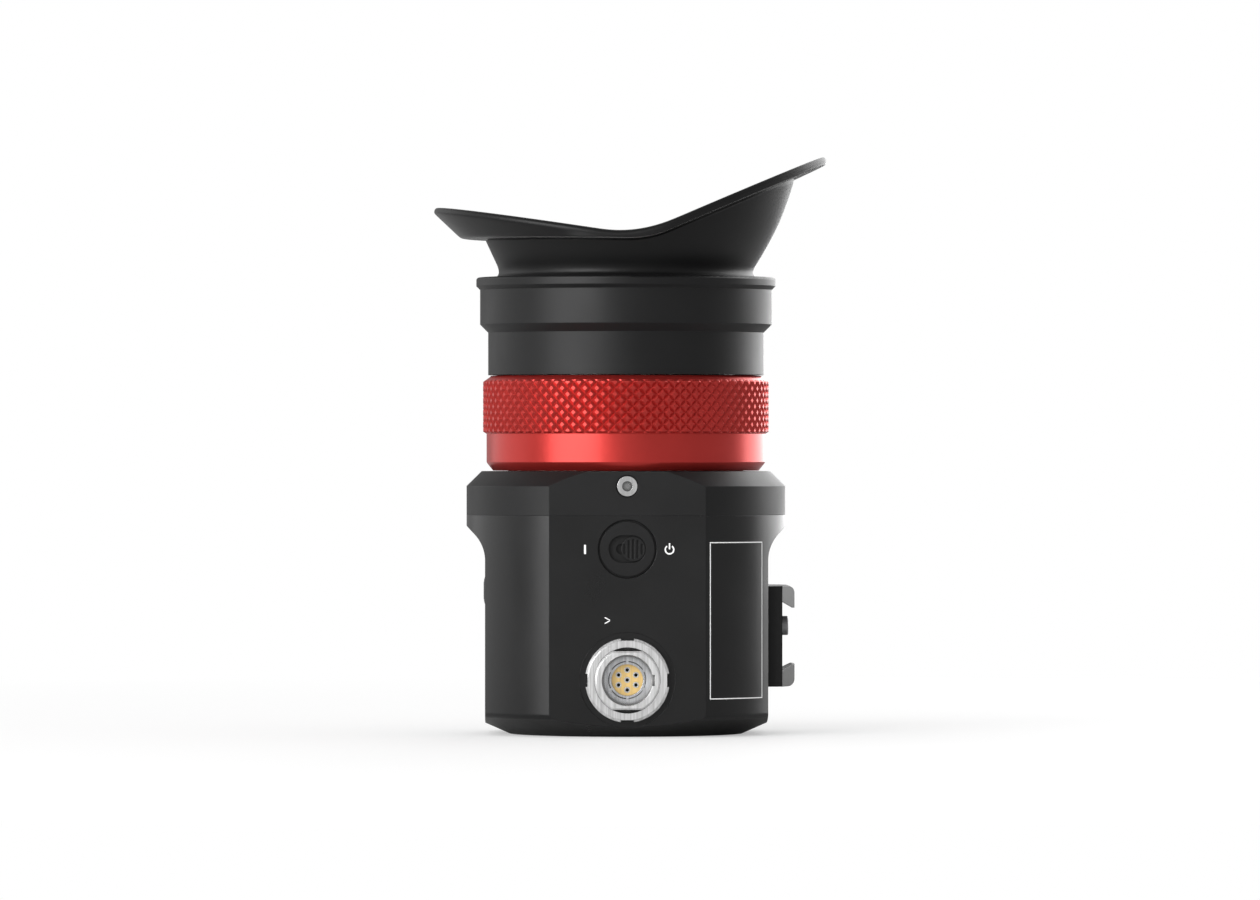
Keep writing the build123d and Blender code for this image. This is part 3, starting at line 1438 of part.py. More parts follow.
def make_connector_crown():
    """Earthing sleeve with six arc-shaped slits round the insert."""
    front = front_plane(connector_bore_floor, connector_height)
    with BuildPart() as crown:
        drum(front, crown_radius, -crown_length)
        drum(front, insert_radius + thread_gap, -crown_length, mode=Mode.SUBTRACT)
        with BuildSketch(front) as slits:
            Circle(crown_slit_radius + crown_slit_width / 2)
            Circle(crown_slit_radius - crown_slit_width / 2, mode=Mode.SUBTRACT)
            with PolarLocations(crown_slit_radius, crown_slit_count, start_angle=360 / crown_slit_count / 2):
                Rectangle(2 * crown_slit_width, crown_bridge_width, mode=Mode.SUBTRACT)
        extrude(slits.sketch, amount=-crown_slit_depth, mode=Mode.SUBTRACT)
    save(crown, "connector_crown")


def make_connector_insert():
    """Insulating insert and its seven socket contacts."""
    front = front_plane(insert_front, connector_height)
    rear = front_plane(contact_rear, connector_height)
    with BuildSketch(front) as places:
        Circle(contact_radius + thread_gap)
        with PolarLocations(contact_pitch, contact_count, start_angle=90):
            Circle(contact_radius + thread_gap)
    with BuildPart() as insert:
        drum(front, insert_radius, -insert_length)
        extrude(places.sketch, amount=-insert_length, mode=Mode.SUBTRACT)
    save(insert, "connector_insert")
    with BuildPart() as contacts:
        with BuildSketch(rear) as pins:
            Circle(contact_radius)
            with PolarLocations(contact_pitch, contact_count, start_angle=90):
                Circle(contact_radius)
        extrude(pins.sketch, amount=insert_front - contact_rear)
        with BuildSketch(front) as bores:
            Circle(contact_bore_radius)
            with PolarLocations(contact_pitch, contact_count, start_angle=90):
                Circle(contact_bore_radius)
        extrude(bores.sketch, amount=-contact_bore_depth, mode=Mode.SUBTRACT)
    save(contacts, "connector_contacts")


def make_rail_shoe():
    """Accessory rail: a plate with rounded ends, and two undercut hooks that taper at the ends."""
    low = shoe_centre_height - shoe_height / 2
    high = shoe_centre_height + shoe_height / 2
    with BuildPart() as shoe:
        with BuildSketch(Plane.XZ) as section:
            with BuildLine():
                Polyline(
                    (side_flat, low), (shoe_outside, low),
                    (shoe_outside, shoe_centre_height - channel_mouth_width / 2),
                    (channel_slope_end, shoe_centre_height - channel_mouth_width / 2),
                    (shoe_face, shoe_centre_height - channel_floor_width / 2),
                    (shoe_face, shoe_centre_height + channel_floor_width / 2),
                    (channel_slope_end, shoe_centre_height + channel_mouth_width / 2),
                    (shoe_outside, shoe_centre_height + channel_mouth_width / 2),
                    (shoe_outside, high), (side_flat, high), close=True,
                )
            make_face()
            outer_corners = section.vertices().group_by(Axis.X)[-1].sort_by(Axis.Y)
            fillet([outer_corners[0], outer_corners[-1]], radius=shoe_round)
            fillet(outer_corners[1:-1], radius=hook_round)
        extrude(section.sketch, amount=shoe_length / 2, both=True)
        with BuildSketch(Plane.XY.offset(low)) as plan:
            hooks_end = shoe_length / 2 - shoe_end_lip
            with BuildLine():
                Polyline(
                    (side_flat, -hooks_end), (shoe_face, -hooks_end),
                    (shoe_outside, hook_lead - hooks_end), (shoe_outside, hooks_end - hook_lead),
                    (shoe_face, hooks_end), (side_flat, hooks_end), close=True,
                )
            make_face()
        extrude(plan.sketch, amount=shoe_height, mode=Mode.INTERSECT)
        with BuildSketch(Plane.XZ) as plate:
            with Locations((side_flat + shoe_plate / 2, shoe_centre_height)):
                Rectangle(shoe_plate, shoe_height)
            fillet(plate.vertices().group_by(Axis.X)[-1], radius=shoe_end_round)
        extrude(plate.sketch, amount=shoe_length / 2, both=True)
        drum(right_plane(side_flat, pin_height), pin_flange_radius + rest_gap,
             pin_shoulder + seat_gap - side_flat, mode=Mode.SUBTRACT)
        drum(right_plane(side_flat, pin_height), pin_radius + running_gap, shoe_plate, mode=Mode.SUBTRACT)
        cut_sunk_holes(shoe_screw_faces, shoe_screw_head_radius, shoe_screw_head_height, shoe_screw_radius,
                       shoe_screw_length)
    save(shoe, "rail_shoe")


def make_shoe_screws():
    """Two sunk screws in the floor of the rail's channel."""
    with BuildPart() as screws:
        add_sunk_screws(shoe_screw_faces, shoe_screw_head_radius, shoe_screw_head_height, shoe_screw_radius,
                        shoe_screw_length)
    save(screws, "shoe_screws")


def make_lock_pin():
    """Sprung stop pin in the rail, and its spring drawn at its pressed length."""
    with BuildPart() as pin:
        drum(right_plane(pin_shoulder, pin_height), pin_radius, shoe_face + pin_proud - pin_shoulder)
        fillet(pin.faces().sort_by(Axis.X)[-1].edges(), radius=pin_round)
        drum(right_plane(pin_flange_back, pin_height), pin_flange_radius, pin_flange_thickness)
        drum(right_plane(pin_flange_back, pin_height), pin_stem_radius, -pin_stem_length)
    save(pin, "lock_pin")
    spring_start = pin_pocket_floor + spring_wire_radius + thread_gap
    spring_end = pin_flange_back - pin_proud - spring_wire_radius - thread_gap
    rise = spring_end - spring_start
    with BuildPart() as spring:
        with BuildLine() as coil:
            Helix(pitch=rise / spring_turns, height=rise, radius=spring_coil_radius,
                  center=(spring_start, 0, pin_height), direction=(1, 0, 0))
        with BuildSketch(Plane(origin=coil.line @ 0, z_dir=coil.line % 0)) as wire:
            Circle(spring_wire_radius)
        sweep(wire.sketch, path=coil.line, is_frenet=True)
    save(spring, "pin_spring")


make_main_housing()
make_base_cover()
make_top_cap()
make_cap_seal()
make_tie_screws()
make_standoffs()
make_main_board()
make_board_components()
make_display_carrier()
make_display()
make_display_clamp()
make_small_screws()
make_light_baffle()
make_flexes()
make_guide_sleeve()
make_foot_screws()
make_lock_screws()
make_thrust_washers()
make_retaining_clip()
make_focus_ring()
make_cam_ring()
make_cam_screws()
make_cam_followers()
make_eyepiece_barrel()
make_lens_tube()
make_barrel_screws()
make_lens_stack()
make_ocular_cover()
make_eyecup_retainer()
make_eyecup_ring()
make_eyecup()
make_switch_bezel()
make_switch_carrier()
make_switch_knob()
make_switch_body()
make_button_bezel()
make_side_button()
make_button_switch()
make_connector_shell()
make_connector_nut()
make_connector_seal()
make_connector_crown()
make_connector_insert()
make_rail_shoe()
make_shoe_screws()
make_lock_pin()
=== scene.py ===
import json
from math import atan2, cos, hypot, pi, radians, sin, sqrt, tan

import bmesh
import bpy
from mathutils import Matrix, Vector


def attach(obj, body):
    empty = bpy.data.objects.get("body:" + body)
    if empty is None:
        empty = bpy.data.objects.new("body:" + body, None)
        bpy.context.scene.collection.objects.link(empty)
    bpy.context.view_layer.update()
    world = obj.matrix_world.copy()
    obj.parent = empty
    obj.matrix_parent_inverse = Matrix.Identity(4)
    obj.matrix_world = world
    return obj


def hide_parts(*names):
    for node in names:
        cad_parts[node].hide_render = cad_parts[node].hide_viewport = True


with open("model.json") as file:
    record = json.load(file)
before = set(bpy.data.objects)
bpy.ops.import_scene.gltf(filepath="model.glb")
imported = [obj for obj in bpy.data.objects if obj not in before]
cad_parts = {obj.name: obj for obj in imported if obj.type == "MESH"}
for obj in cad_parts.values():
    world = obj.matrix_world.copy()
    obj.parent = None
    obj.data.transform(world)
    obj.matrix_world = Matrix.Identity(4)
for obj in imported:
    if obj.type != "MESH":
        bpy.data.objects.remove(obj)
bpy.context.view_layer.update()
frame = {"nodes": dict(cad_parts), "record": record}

# The pieces are drawn in millimetres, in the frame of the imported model, and scaled to metres when they
# are finished. +X is the rail's side, -Y the control face and +Z the way to the eye.
METRES = 0.001
FRONT_FLAT = 25.8
BODY_RADIUS = 29.5


# Shader helpers

def node(tree, kind, inputs=None, **settings):
    """Add a shader node, set its options, and set or link its inputs."""
    made = tree.nodes.new(kind)
    for key, value in settings.items():
        setattr(made, key, value)
    for key, value in (inputs or {}).items():
        if isinstance(value, bpy.types.NodeSocket):
            tree.links.new(value, made.inputs[key])
        else:
            made.inputs[key].default_value = value
    return made


def new_group(name, inputs, outputs):
    """Start a shader node group with named number inputs and named outputs."""
    tree = bpy.data.node_groups.new(name, "ShaderNodeTree")
    for title, value in inputs.items():
        socket = tree.interface.new_socket(title, in_out="INPUT", socket_type="NodeSocketFloat")
        socket.default_value = value
    for title, kind in outputs.items():
        tree.interface.new_socket(title, in_out="OUTPUT", socket_type=kind)
    return tree, tree.nodes.new("NodeGroupInput"), tree.nodes.new("NodeGroupOutput")


def use_group(tree, group, **inputs):
    """Place a node group in a material with its own values."""
    made = tree.nodes.new("ShaderNodeGroup")
    made.node_tree = group
    for key, value in inputs.items():
        made.inputs[key].default_value = value
    return made


def mixed(tree, share, first, second):
    """Colour between two others, by a share that changes over the surface."""
    blend = node(tree, "ShaderNodeMix", {0: share}, data_type="RGBA")
    for index, value in ((6, first), (7, second)):
        if isinstance(value, bpy.types.NodeSocket):
            tree.links.new(value, blend.inputs[index])
        else:
            blend.inputs[index].default_value = (*value, 1.0)
    return blend.outputs[2]


def ranged(tree, value, low, high, from_low, from_high):
    """Number carried from one range to another and kept inside it."""
    return node(tree, "ShaderNodeMapRange", {
        "Value": value, "From Min": from_low, "From Max": from_high, "To Min": low, "To Max": high,
    }).outputs[0]


def figured(tree, operation, *values):
    """Number worked out from others by one math operation."""
    return node(tree, "ShaderNodeMath", dict(enumerate(values)), operation=operation).outputs[0]


def fineness(tree, size):
    """Steps in a metre for a step size in millimetres."""
    return figured(tree, "DIVIDE", 1.0 / METRES, size)


def grained(tree, place, size, detail):
    """Noise over a place, with grains of a size in millimetres."""
    return node(tree, "ShaderNodeTexNoise", {
        "Vector": place, "Scale": fineness(tree, size), "Detail": detail,
    }).outputs[0]


def bumped(tree, height, depth, normal=None):
    """Normal with the relief of a height mask, of a depth in millimetres, laid over another if given."""
    inputs = {"Height": height, "Distance": depth * METRES, "Strength": 1.0}
    if normal is not None:
        inputs["Normal"] = normal
    return node(tree, "ShaderNodeBump", inputs).outputs[0]


def make_grain_group():
    """Fine speckle at a grain size in millimetres, and slow mottling over centimetres."""
    tree, given, result = new_group("fine_grain", {"Grain": 0.2, "Patch": 12.0}, {
        "Speckle": "NodeSocketFloat", "Mottle": "NodeSocketFloat",
    })
    place = node(tree, "ShaderNodeTexCoord").outputs["Object"]
    for title, size, detail in (("Speckle", "Grain", 1.0), ("Mottle", "Patch", 4.0)):
        tree.links.new(grained(tree, place, given.outputs[size], detail), result.inputs[title])
    return tree


def make_edge_group():
    """Softly rounded edges: the rounded normal, and a mask that is 1 along the edges."""
    tree, given, result = new_group("rounded_edges", {"Radius": 0.2}, {
        "Normal": "NodeSocketVector", "Edge": "NodeSocketFloat",
    })
    radius = figured(tree, "MULTIPLY", given.outputs["Radius"], METRES)
    soft = node(tree, "ShaderNodeBevel", {"Radius": radius}, samples=6).outputs[0]
    flat = node(tree, "ShaderNodeNewGeometry").outputs["Normal"]
    agree = node(tree, "ShaderNodeVectorMath", {0: soft, 1: flat}, operation="DOT_PRODUCT")
    tree.links.new(soft, result.inputs["Normal"])
    tree.links.new(ranged(tree, agree.outputs["Value"], 1.0, 0.0, 0.8, 0.985), result.inputs["Edge"])
    return tree


def make_recess_shade_group():
    """Painted-shade mask: 1 on open surfaces, 0 deep in holes and slits, by a reach in millimetres."""
    tree, given, result = new_group("recess_painted_shade", {"Reach": 1.2}, {"Open": "NodeSocketFloat"})
    reach = figured(tree, "MULTIPLY", given.outputs["Reach"], METRES)
    depth = node(tree, "ShaderNodeAmbientOcclusion", {"Distance": reach}, samples=8)
    tree.links.new(ranged(tree, depth.outputs["AO"], 0.0, 1.0, 0.4, 0.9), result.inputs["Open"])
    return tree


def make_turned_group():
    """Hair-thin rings left by a lathe round the optical axis, at a pitch in millimetres."""
    tree, given, result = new_group("turned_rings", {"Pitch": 0.15}, {"Line": "NodeSocketFloat"})
    place = node(tree, "ShaderNodeTexCoord").outputs["Object"]
    parts = node(tree, "ShaderNodeSeparateXYZ", {0: place}).outputs
    level = node(tree, "ShaderNodeCombineXYZ", {"X": parts["X"], "Y": parts["Y"]}).outputs[0]
    radius = node(tree, "ShaderNodeVectorMath", {0: level}, operation="LENGTH").outputs["Value"]
    track = node(tree, "ShaderNodeCombineXYZ", {"X": radius, "Z": parts["Z"]}).outputs[0]
    tree.links.new(grained(tree, track, given.outputs["Pitch"], 2.0), result.inputs["Line"])
    return tree


def make_brushed_group():
    """Straight brushing along Z, at a pitch across the strokes in millimetres."""
    tree, given, result = new_group("straight_brushing", {"Pitch": 0.12, "Stretch": 0.02},
                                    {"Line": "NodeSocketFloat"})
    place = node(tree, "ShaderNodeTexCoord").outputs["Object"]
    stretch = node(tree, "ShaderNodeCombineXYZ", {"X": 1.0, "Y": 1.0, "Z": given.outputs["Stretch"]})
    track = node(tree, "ShaderNodeVectorMath", {0: place, 1: stretch.outputs[0]}, operation="MULTIPLY")
    tree.links.new(grained(tree, track.outputs[0], given.outputs["Pitch"], 3.0), result.inputs["Line"])
    return tree


def make_track_group():
    """Parallel conductor tracks along Y, at a pitch in millimetres, for boards and ribbons."""
    tree, given, result = new_group("conductor_tracks", {"Pitch": 0.8}, {"Track": "NodeSocketFloat"})
    place = node(tree, "ShaderNodeTexCoord").outputs["Object"]
    across = node(tree, "ShaderNodeSeparateXYZ", {0: place}).outputs["X"]
    count = figured(tree, "MULTIPLY", across, fineness(tree, given.outputs["Pitch"]))
    away = figured(tree, "SUBTRACT", figured(tree, "FRACT", count), 0.5)
    reach = figured(tree, "ABSOLUTE", away)
    tree.links.new(ranged(tree, reach, 1.0, 0.0, 0.2, 0.26), result.inputs["Track"])
    return tree


GRAIN = make_grain_group()
EDGES = make_edge_group()
RECESS_SHADE = make_recess_shade_group()
TURNED = make_turned_group()
BRUSHED = make_brushed_group()
TRACKS = make_track_group()


# Finishes

# Noise crowds round a half: these are the values that it seldom leaves, and the middle ones.
NOISE_SPAN = (0.3, 0.7)
NOISE_MIDDLE = (0.35, 0.65)
ROUGHNESS_SPREAD = 0.04
COAT_ROUGHNESS = 0.2
SHEEN_ROUGHNESS = 0.3
# Reach of the painted shade in holes and slits, in millimetres.
SHADE_REACH = 1.2
WORN_BLACK = (0.04, 0.04, 0.043)


def new_material(name):
    """Start a material, and return it with its node tree and its main shader."""
    material = bpy.data.materials.new(name)
    material.use_nodes = True
    return material, material.node_tree, material.node_tree.nodes["Principled BSDF"]


def finish(name, colour, roughness, metallic=0.0, specular=0.5, grain=0.2, depth=0.006, variety=0.12,
           worn=None, wear=0.5, edge=0.15, lines=None, line_pitch=0.15, line_depth=0.002, line_tone=0.0,
           coat=0.0, recess_shade=0.0, sheen=0.0):
    """Surface finish: mottled and speckled, with soft worn edges, machining lines and painted recess shade.

    The grain, depth, edge radius, line pitch and line depth are in millimetres.
    """
    material, tree, surface = new_material(name)
    marks = use_group(tree, GRAIN, Grain=grain)
    mottle = marks.outputs["Mottle"]
    if edge:
        edges = use_group(tree, EDGES, Radius=edge)
    dark = [part * (1.0 - variety) for part in colour]
    light = [min(1.0, part * (1.0 + variety)) for part in colour]
    tone = mixed(tree, ranged(tree, mottle, 0.0, 1.0, *NOISE_SPAN), dark, light)
    if lines:
        strokes = use_group(tree, lines, Pitch=line_pitch).outputs["Line"]
        if line_tone:
            faint = [part * (1.0 - line_tone) for part in colour]
            tone = mixed(tree, ranged(tree, strokes, 1.0, 0.0, *NOISE_MIDDLE), tone, faint)
    if worn:
        patchy = ranged(tree, mottle, 0.1, wear, *NOISE_MIDDLE)
        tone = mixed(tree, figured(tree, "MULTIPLY", edges.outputs["Edge"], patchy), tone, worn)
    # Painted shade: the colour is darkened deep in holes and slits, where ambient occlusion finds them.
    if recess_shade:
        recess = use_group(tree, RECESS_SHADE, Reach=SHADE_REACH)
        shaded = [part * (1.0 - recess_shade) for part in colour]
        tone = mixed(tree, recess.outputs["Open"], shaded, tone)
    tree.links.new(tone, surface.inputs["Base Color"])
    rough = ranged(tree, mottle, roughness - ROUGHNESS_SPREAD, roughness + ROUGHNESS_SPREAD, *NOISE_SPAN)
    tree.links.new(rough, surface.inputs["Roughness"])
    relief = bumped(tree, marks.outputs["Speckle"], depth, edges.outputs["Normal"] if edge else None)
    if lines:
        relief = bumped(tree, strokes, line_depth, relief)
    tree.links.new(relief, surface.inputs["Normal"])
    for title, value in (("Metallic", metallic), ("Specular IOR Level", specular), ("Coat Weight", coat),
                         ("Coat Roughness", COAT_ROUGHNESS), ("Sheen Weight", sheen),
                         ("Sheen Roughness", SHEEN_ROUGHNESS)):
        surface.inputs[title].default_value = value
    return material


def blasted(name, colour, roughness, specular, depth, edge):
    """Blasted aluminium, anodised black and a little paler along its edges."""
    return finish(name, colour, roughness, specular=specular, grain=0.16, depth=depth, variety=0.1,
                  worn=WORN_BLACK, wear=0.3, edge=edge)


def coated_glass():
    """Clear optical glass with a faint coloured coating and a trace of dust."""
    material, tree, surface = new_material("coated_glass")
    dust = use_group(tree, GRAIN, Grain=0.6, Patch=9.0)
    tree.links.new(ranged(tree, dust.outputs["Mottle"], 0.0, 0.05, 0.45, 0.75), surface.inputs["Roughness"])
    tint = mixed(tree, ranged(tree, dust.outputs["Speckle"], 0.0, 1.0, *NOISE_SPAN),
                 (0.93, 0.95, 0.97), (0.97, 0.98, 1.0))
    tree.links.new(tint, surface.inputs["Base Color"])
    for title, value in (("Transmission Weight", 1.0), ("IOR", 1.6), ("Thin Film Thickness", 380.0),
                         ("Thin Film IOR", 1.38)):
        surface.inputs[title].default_value = value
    return material


def tracked(name, base, track, roughness, pitch):
    """Board or ribbon whose conductor tracks show through its film."""
    material = finish(name, base, roughness, grain=0.3, depth=0.002, coat=0.2)
    tree = material.node_tree
    colour = tree.nodes["Principled BSDF"].inputs["Base Color"]
    under = colour.links[0].from_socket
    tracks = use_group(tree, TRACKS, Pitch=pitch)
    tree.links.new(mixed(tree, tracks.outputs["Track"], under, track), colour)
    return material


blasted_black = blasted("blasted_black", (0.004, 0.004, 0.0042), 0.31, 0.49, 0.008, 0.16)
blasted_cap = blasted("blasted_cap", (0.005, 0.005, 0.0053), 0.47, 0.4, 0.011, 0.2)
blasted_rail = blasted("blasted_rail", (0.005, 0.005, 0.0053), 0.4, 0.34, 0.008, 0.16)
turned_black = finish("turned_black", (0.006, 0.006, 0.0063), 0.44, specular=0.335, grain=0.2, depth=0.004,
                      variety=0.08, worn=WORN_BLACK, wear=0.3, edge=0.14, lines=TURNED, line_pitch=0.18,
                      line_depth=0.0015)
satin_red = finish("satin_red", (0.52, 0.036, 0.03), 0.35, metallic=0.78, grain=0.16, depth=0.003,
                   variety=0.06, worn=(0.6, 0.12, 0.1), wear=0.3, edge=0.03, lines=TURNED,
                   line_pitch=0.14, line_depth=0.001, coat=0.2)
cup_rubber = finish("cup_rubber", (0.003, 0.003, 0.0032), 0.46, specular=0.36, grain=0.3, depth=0.005,
                    variety=0.12, edge=0, sheen=0.12)
dark_steel = finish("dark_steel", (0.46, 0.46, 0.47), 0.55, metallic=0.8, grain=0.2, depth=0.002,
                    variety=0.08, worn=(0.5, 0.5, 0.5), edge=0.1)

# Where a finish darkens its holes and slits, that darkening is painted shade.
finishes = {
    "black_anodised": blasted_black,
    "red_anodised": satin_red,
    "bare_aluminium": finish("brushed_aluminium", (0.84, 0.85, 0.87), 0.28, metallic=0.8, grain=0.3,
                             depth=0.001, variety=0.05, worn=(0.95, 0.95, 0.95), edge=0.12, lines=BRUSHED,
                             line_pitch=0.4, line_depth=0.003, line_tone=0.3, recess_shade=0.8),
    "steel": finish("satin_steel", (0.92, 0.92, 0.92), 0.27, metallic=1.0, grain=0.25, depth=0.002,
                    variety=0.08, worn=(0.85, 0.85, 0.85), edge=0.1, lines=BRUSHED, line_pitch=0.35,
                    line_depth=0.003, line_tone=0.2, recess_shade=0.85),
    "black_steel": finish("blackened_steel", (0.03, 0.03, 0.032), 0.36, metallic=0.7, grain=0.2,
                          depth=0.003, worn=(0.16, 0.16, 0.17), edge=0.1),
    "nickel": finish("plated_nickel", (0.95, 0.95, 0.95), 0.24, metallic=0.7, grain=0.3, depth=0.001,
                     variety=0.05, worn=(0.95, 0.95, 0.95), edge=0.12, lines=BRUSHED, line_pitch=0.45,
                     line_depth=0.003, line_tone=0.28, recess_shade=0.9),
    "insulator": finish("amber_insulator", (0.93, 0.64, 0.24), 0.35, grain=0.25, depth=0.002, edge=0.05,
                        coat=0.25, lines=BRUSHED, line_pitch=0.3, line_depth=0.002, line_tone=0.2,
                        recess_shade=0.15),
    "black_plastic": finish("moulded_black", (0.005, 0.005, 0.0053), 0.4, specular=0.42, grain=0.18,
                            depth=0.005, worn=(0.04, 0.04, 0.04), edge=0.1, recess_shade=0.8),
    "pale_plastic": finish("moulded_pale", (0.8, 0.79, 0.75), 0.45, grain=0.2, depth=0.003, edge=0.1),
    "board_green": tracked("board_green", (0.02, 0.16, 0.07), (0.05, 0.26, 0.12), 0.35, 1.1),
    "chip_black": finish("chip_resin", (0.02, 0.02, 0.02), 0.5, grain=0.12, depth=0.004, edge=0.05),
    "flex_amber": tracked("ribbon_amber", (0.55, 0.28, 0.04), (0.36, 0.15, 0.03), 0.3, 0.6),
    "seal_rubber": finish("seal_rubber", (0.02, 0.02, 0.02), 0.6, specular=0.35, grain=0.25,
                          depth=0.005, edge=0.1),
    "eyecup_rubber": cup_rubber,
    "optical_glass": coated_glass(),
}
# The contact holes are painted nearly black, as painted shade.
contact_plating = finish("contact_plating", (0.95, 0.94, 0.9), 0.24, metallic=0.8, grain=0.3, depth=0.001,
                         variety=0.05, edge=0.04, recess_shade=0.97)
# The nut's edges are patchily darkened to dark grey.
nut_plating = finish("nut_plating", (0.97, 0.97, 0.97), 0.24, metallic=0.7, grain=0.3, depth=0.001,
                     variety=0.05, worn=(0.22, 0.22, 0.23), wear=1.0, edge=0.2, lines=BRUSHED,
                     line_pitch=0.35, line_depth=0.003, line_tone=0.35, recess_shade=0.9)
white_ink = finish("white_ink", (0.86, 0.86, 0.86), 0.5, grain=0.12, depth=0.001, variety=0.03, edge=0)

# Nodes whose finish differs from the one of their slot.
special_finishes = {"top_cap": blasted_cap, "lock_pin": dark_steel, "rail_shoe": blasted_rail,
                    "connector_contacts": contact_plating, "connector_nut": nut_plating}
for turned_node in ("eyepiece_barrel", "ocular_cover", "eyecup_retainer", "lens_tube", "lens_retainer",
                    "lens_spacers", "light_baffle"):
    special_finishes[turned_node] = turned_black


# Mesh helpers

SMOOTH_ANGLE = 30
WELD_DISTANCE = 0.0005


def round_faces(bm, angle):
    """Smooth shading everywhere but across edges sharper than the angle in degrees."""
    for face in bm.faces:
        face.smooth = True
    for line in bm.edges:
        line.smooth = len(line.link_faces) == 2 and line.calc_face_angle(0.0) < radians(angle)


def add_object(bm, name, material):
    """Put a finished mesh in the scene with its material."""
    mesh = bpy.data.meshes.new(name)
    bm.to_mesh(mesh)
    bm.free()
    mesh.materials.append(material)
    made = bpy.data.objects.new(name, mesh)
    bpy.context.scene.collection.objects.link(made)
    return made


def finish_piece(bm, name, body, material, replaced=(), angle=SMOOTH_ANGLE):
    """Weld a mesh, scale it to metres and make it a piece of a body, in place of the nodes it replaces."""
    bmesh.ops.remove_doubles(bm, verts=bm.verts, dist=WELD_DISTANCE)
    bmesh.ops.recalc_face_normals(bm, faces=bm.faces)
    round_faces(bm, angle)
    bmesh.ops.scale(bm, vec=(METRES,) * 3, verts=bm.verts)
    piece = add_object(bm, name, material)
    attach(piece, body)
    if replaced:
        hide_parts(*replaced)
    return piece


def turn_outline(bm, points, steps):
    """Spin a closed outline of (radius, height) points about the optical axis."""
    corners = [bm.verts.new((radius, 0, height)) for radius, height in points]
    lines = [bm.edges.new((corners[index - 1], corners[index])) for index in range(len(corners))]
    bmesh.ops.spin(bm, geom=corners + lines, cent=(0, 0, 0), axis=(0, 0, 1), angle=2 * pi, steps=steps,
                   use_merge=True)


def smooth_step(value, low, high):
    """Share from 0 below the low value to 1 above the high one, without a kink."""
    share = min(1.0, max(0.0, (value - low) / (high - low)))
    return share * share * (3 - 2 * share)


def soft_max(first, second, blend):
    """Larger of two numbers, rounded off where they are within `blend` of each other."""
    near = max(0.0, 1 - abs(first - second) / blend)
    return max(first, second) + blend * near * near / 4


# Knurled focus ring

RING_BOTTOM, RING_TOP = 48.6, 66.1
RING_BORE, RING_LEDGE, RING_LEDGE_HEIGHT, LEDGE_CHAMFER = 22.0, 24.6, 64.2, 0.08
FOOT_FACE, FOOT_RADIUS, FOOT_CHAMFER = 24.58, 24.7, 0.14
BAND_RADIUS, BAND_LOW, BAND_HIGH = 25.8, 50.1, 55.4
BAND_CHAMFER, BAND_CHAMFER_DROP = 0.1, 0.12
GRIP_RADIUS, GRIP_LOW, GRIP_HIGH = 26.45, 55.78, 65.0
CROWN_FACE, CROWN_RADIUS, CROWN_HEIGHT = 25.0, 25.14, 65.92
GROOVE_ROOT = 26.03
DIAMONDS_ROUND, DIAMOND_SLOPE = 74, 0.47
CROWN_SLOPE = (CROWN_HEIGHT - GRIP_HIGH) / (GRIP_RADIUS - CROWN_RADIUS)
FOOT_SLOPE = (GRIP_LOW - BAND_HIGH) / (GRIP_RADIUS - BAND_RADIUS)
SLEEVE_LOW = BAND_HIGH + (GROOVE_ROOT - BAND_RADIUS) * FOOT_SLOPE
SLEEVE_HIGH = GRIP_HIGH + (GRIP_RADIUS - GROOVE_ROOT) * CROWN_SLOPE
SLEEVE_WALL, SLEEVE_SPARE_ROWS, SLEEVE_WELD = 0.3, 4, 0.001
CORE_INSET, CORE_STEP = 0.15, 0.1
RING_SMOOTH_ANGLE, RING_EDGE_SOFTENING = 20, 0.03


def blank_radius(height):
    """Radius of the ring before knurling, with its bevels above and below the grip."""
    return min(GRIP_RADIUS, GRIP_RADIUS - (height - GRIP_HIGH) / CROWN_SLOPE,
               BAND_RADIUS + (height - BAND_HIGH) / FOOT_SLOPE)


def set_radius(vert, radius):
    """Move a vertex straight out from the optical axis, or in, to a radius."""
    stretch = radius / hypot(vert.co.x, vert.co.y)
    vert.co.x *= stretch
    vert.co.y *= stretch


def cut_level(bm, height, **clear):
    """Cut all faces at a height, and clear what lies above or below it if asked."""
    bmesh.ops.bisect_plane(bm, geom=bm.verts[:] + bm.edges[:] + bm.faces[:], plane_co=(0, 0, height),
                           plane_no=(0, 0, 1), **clear)


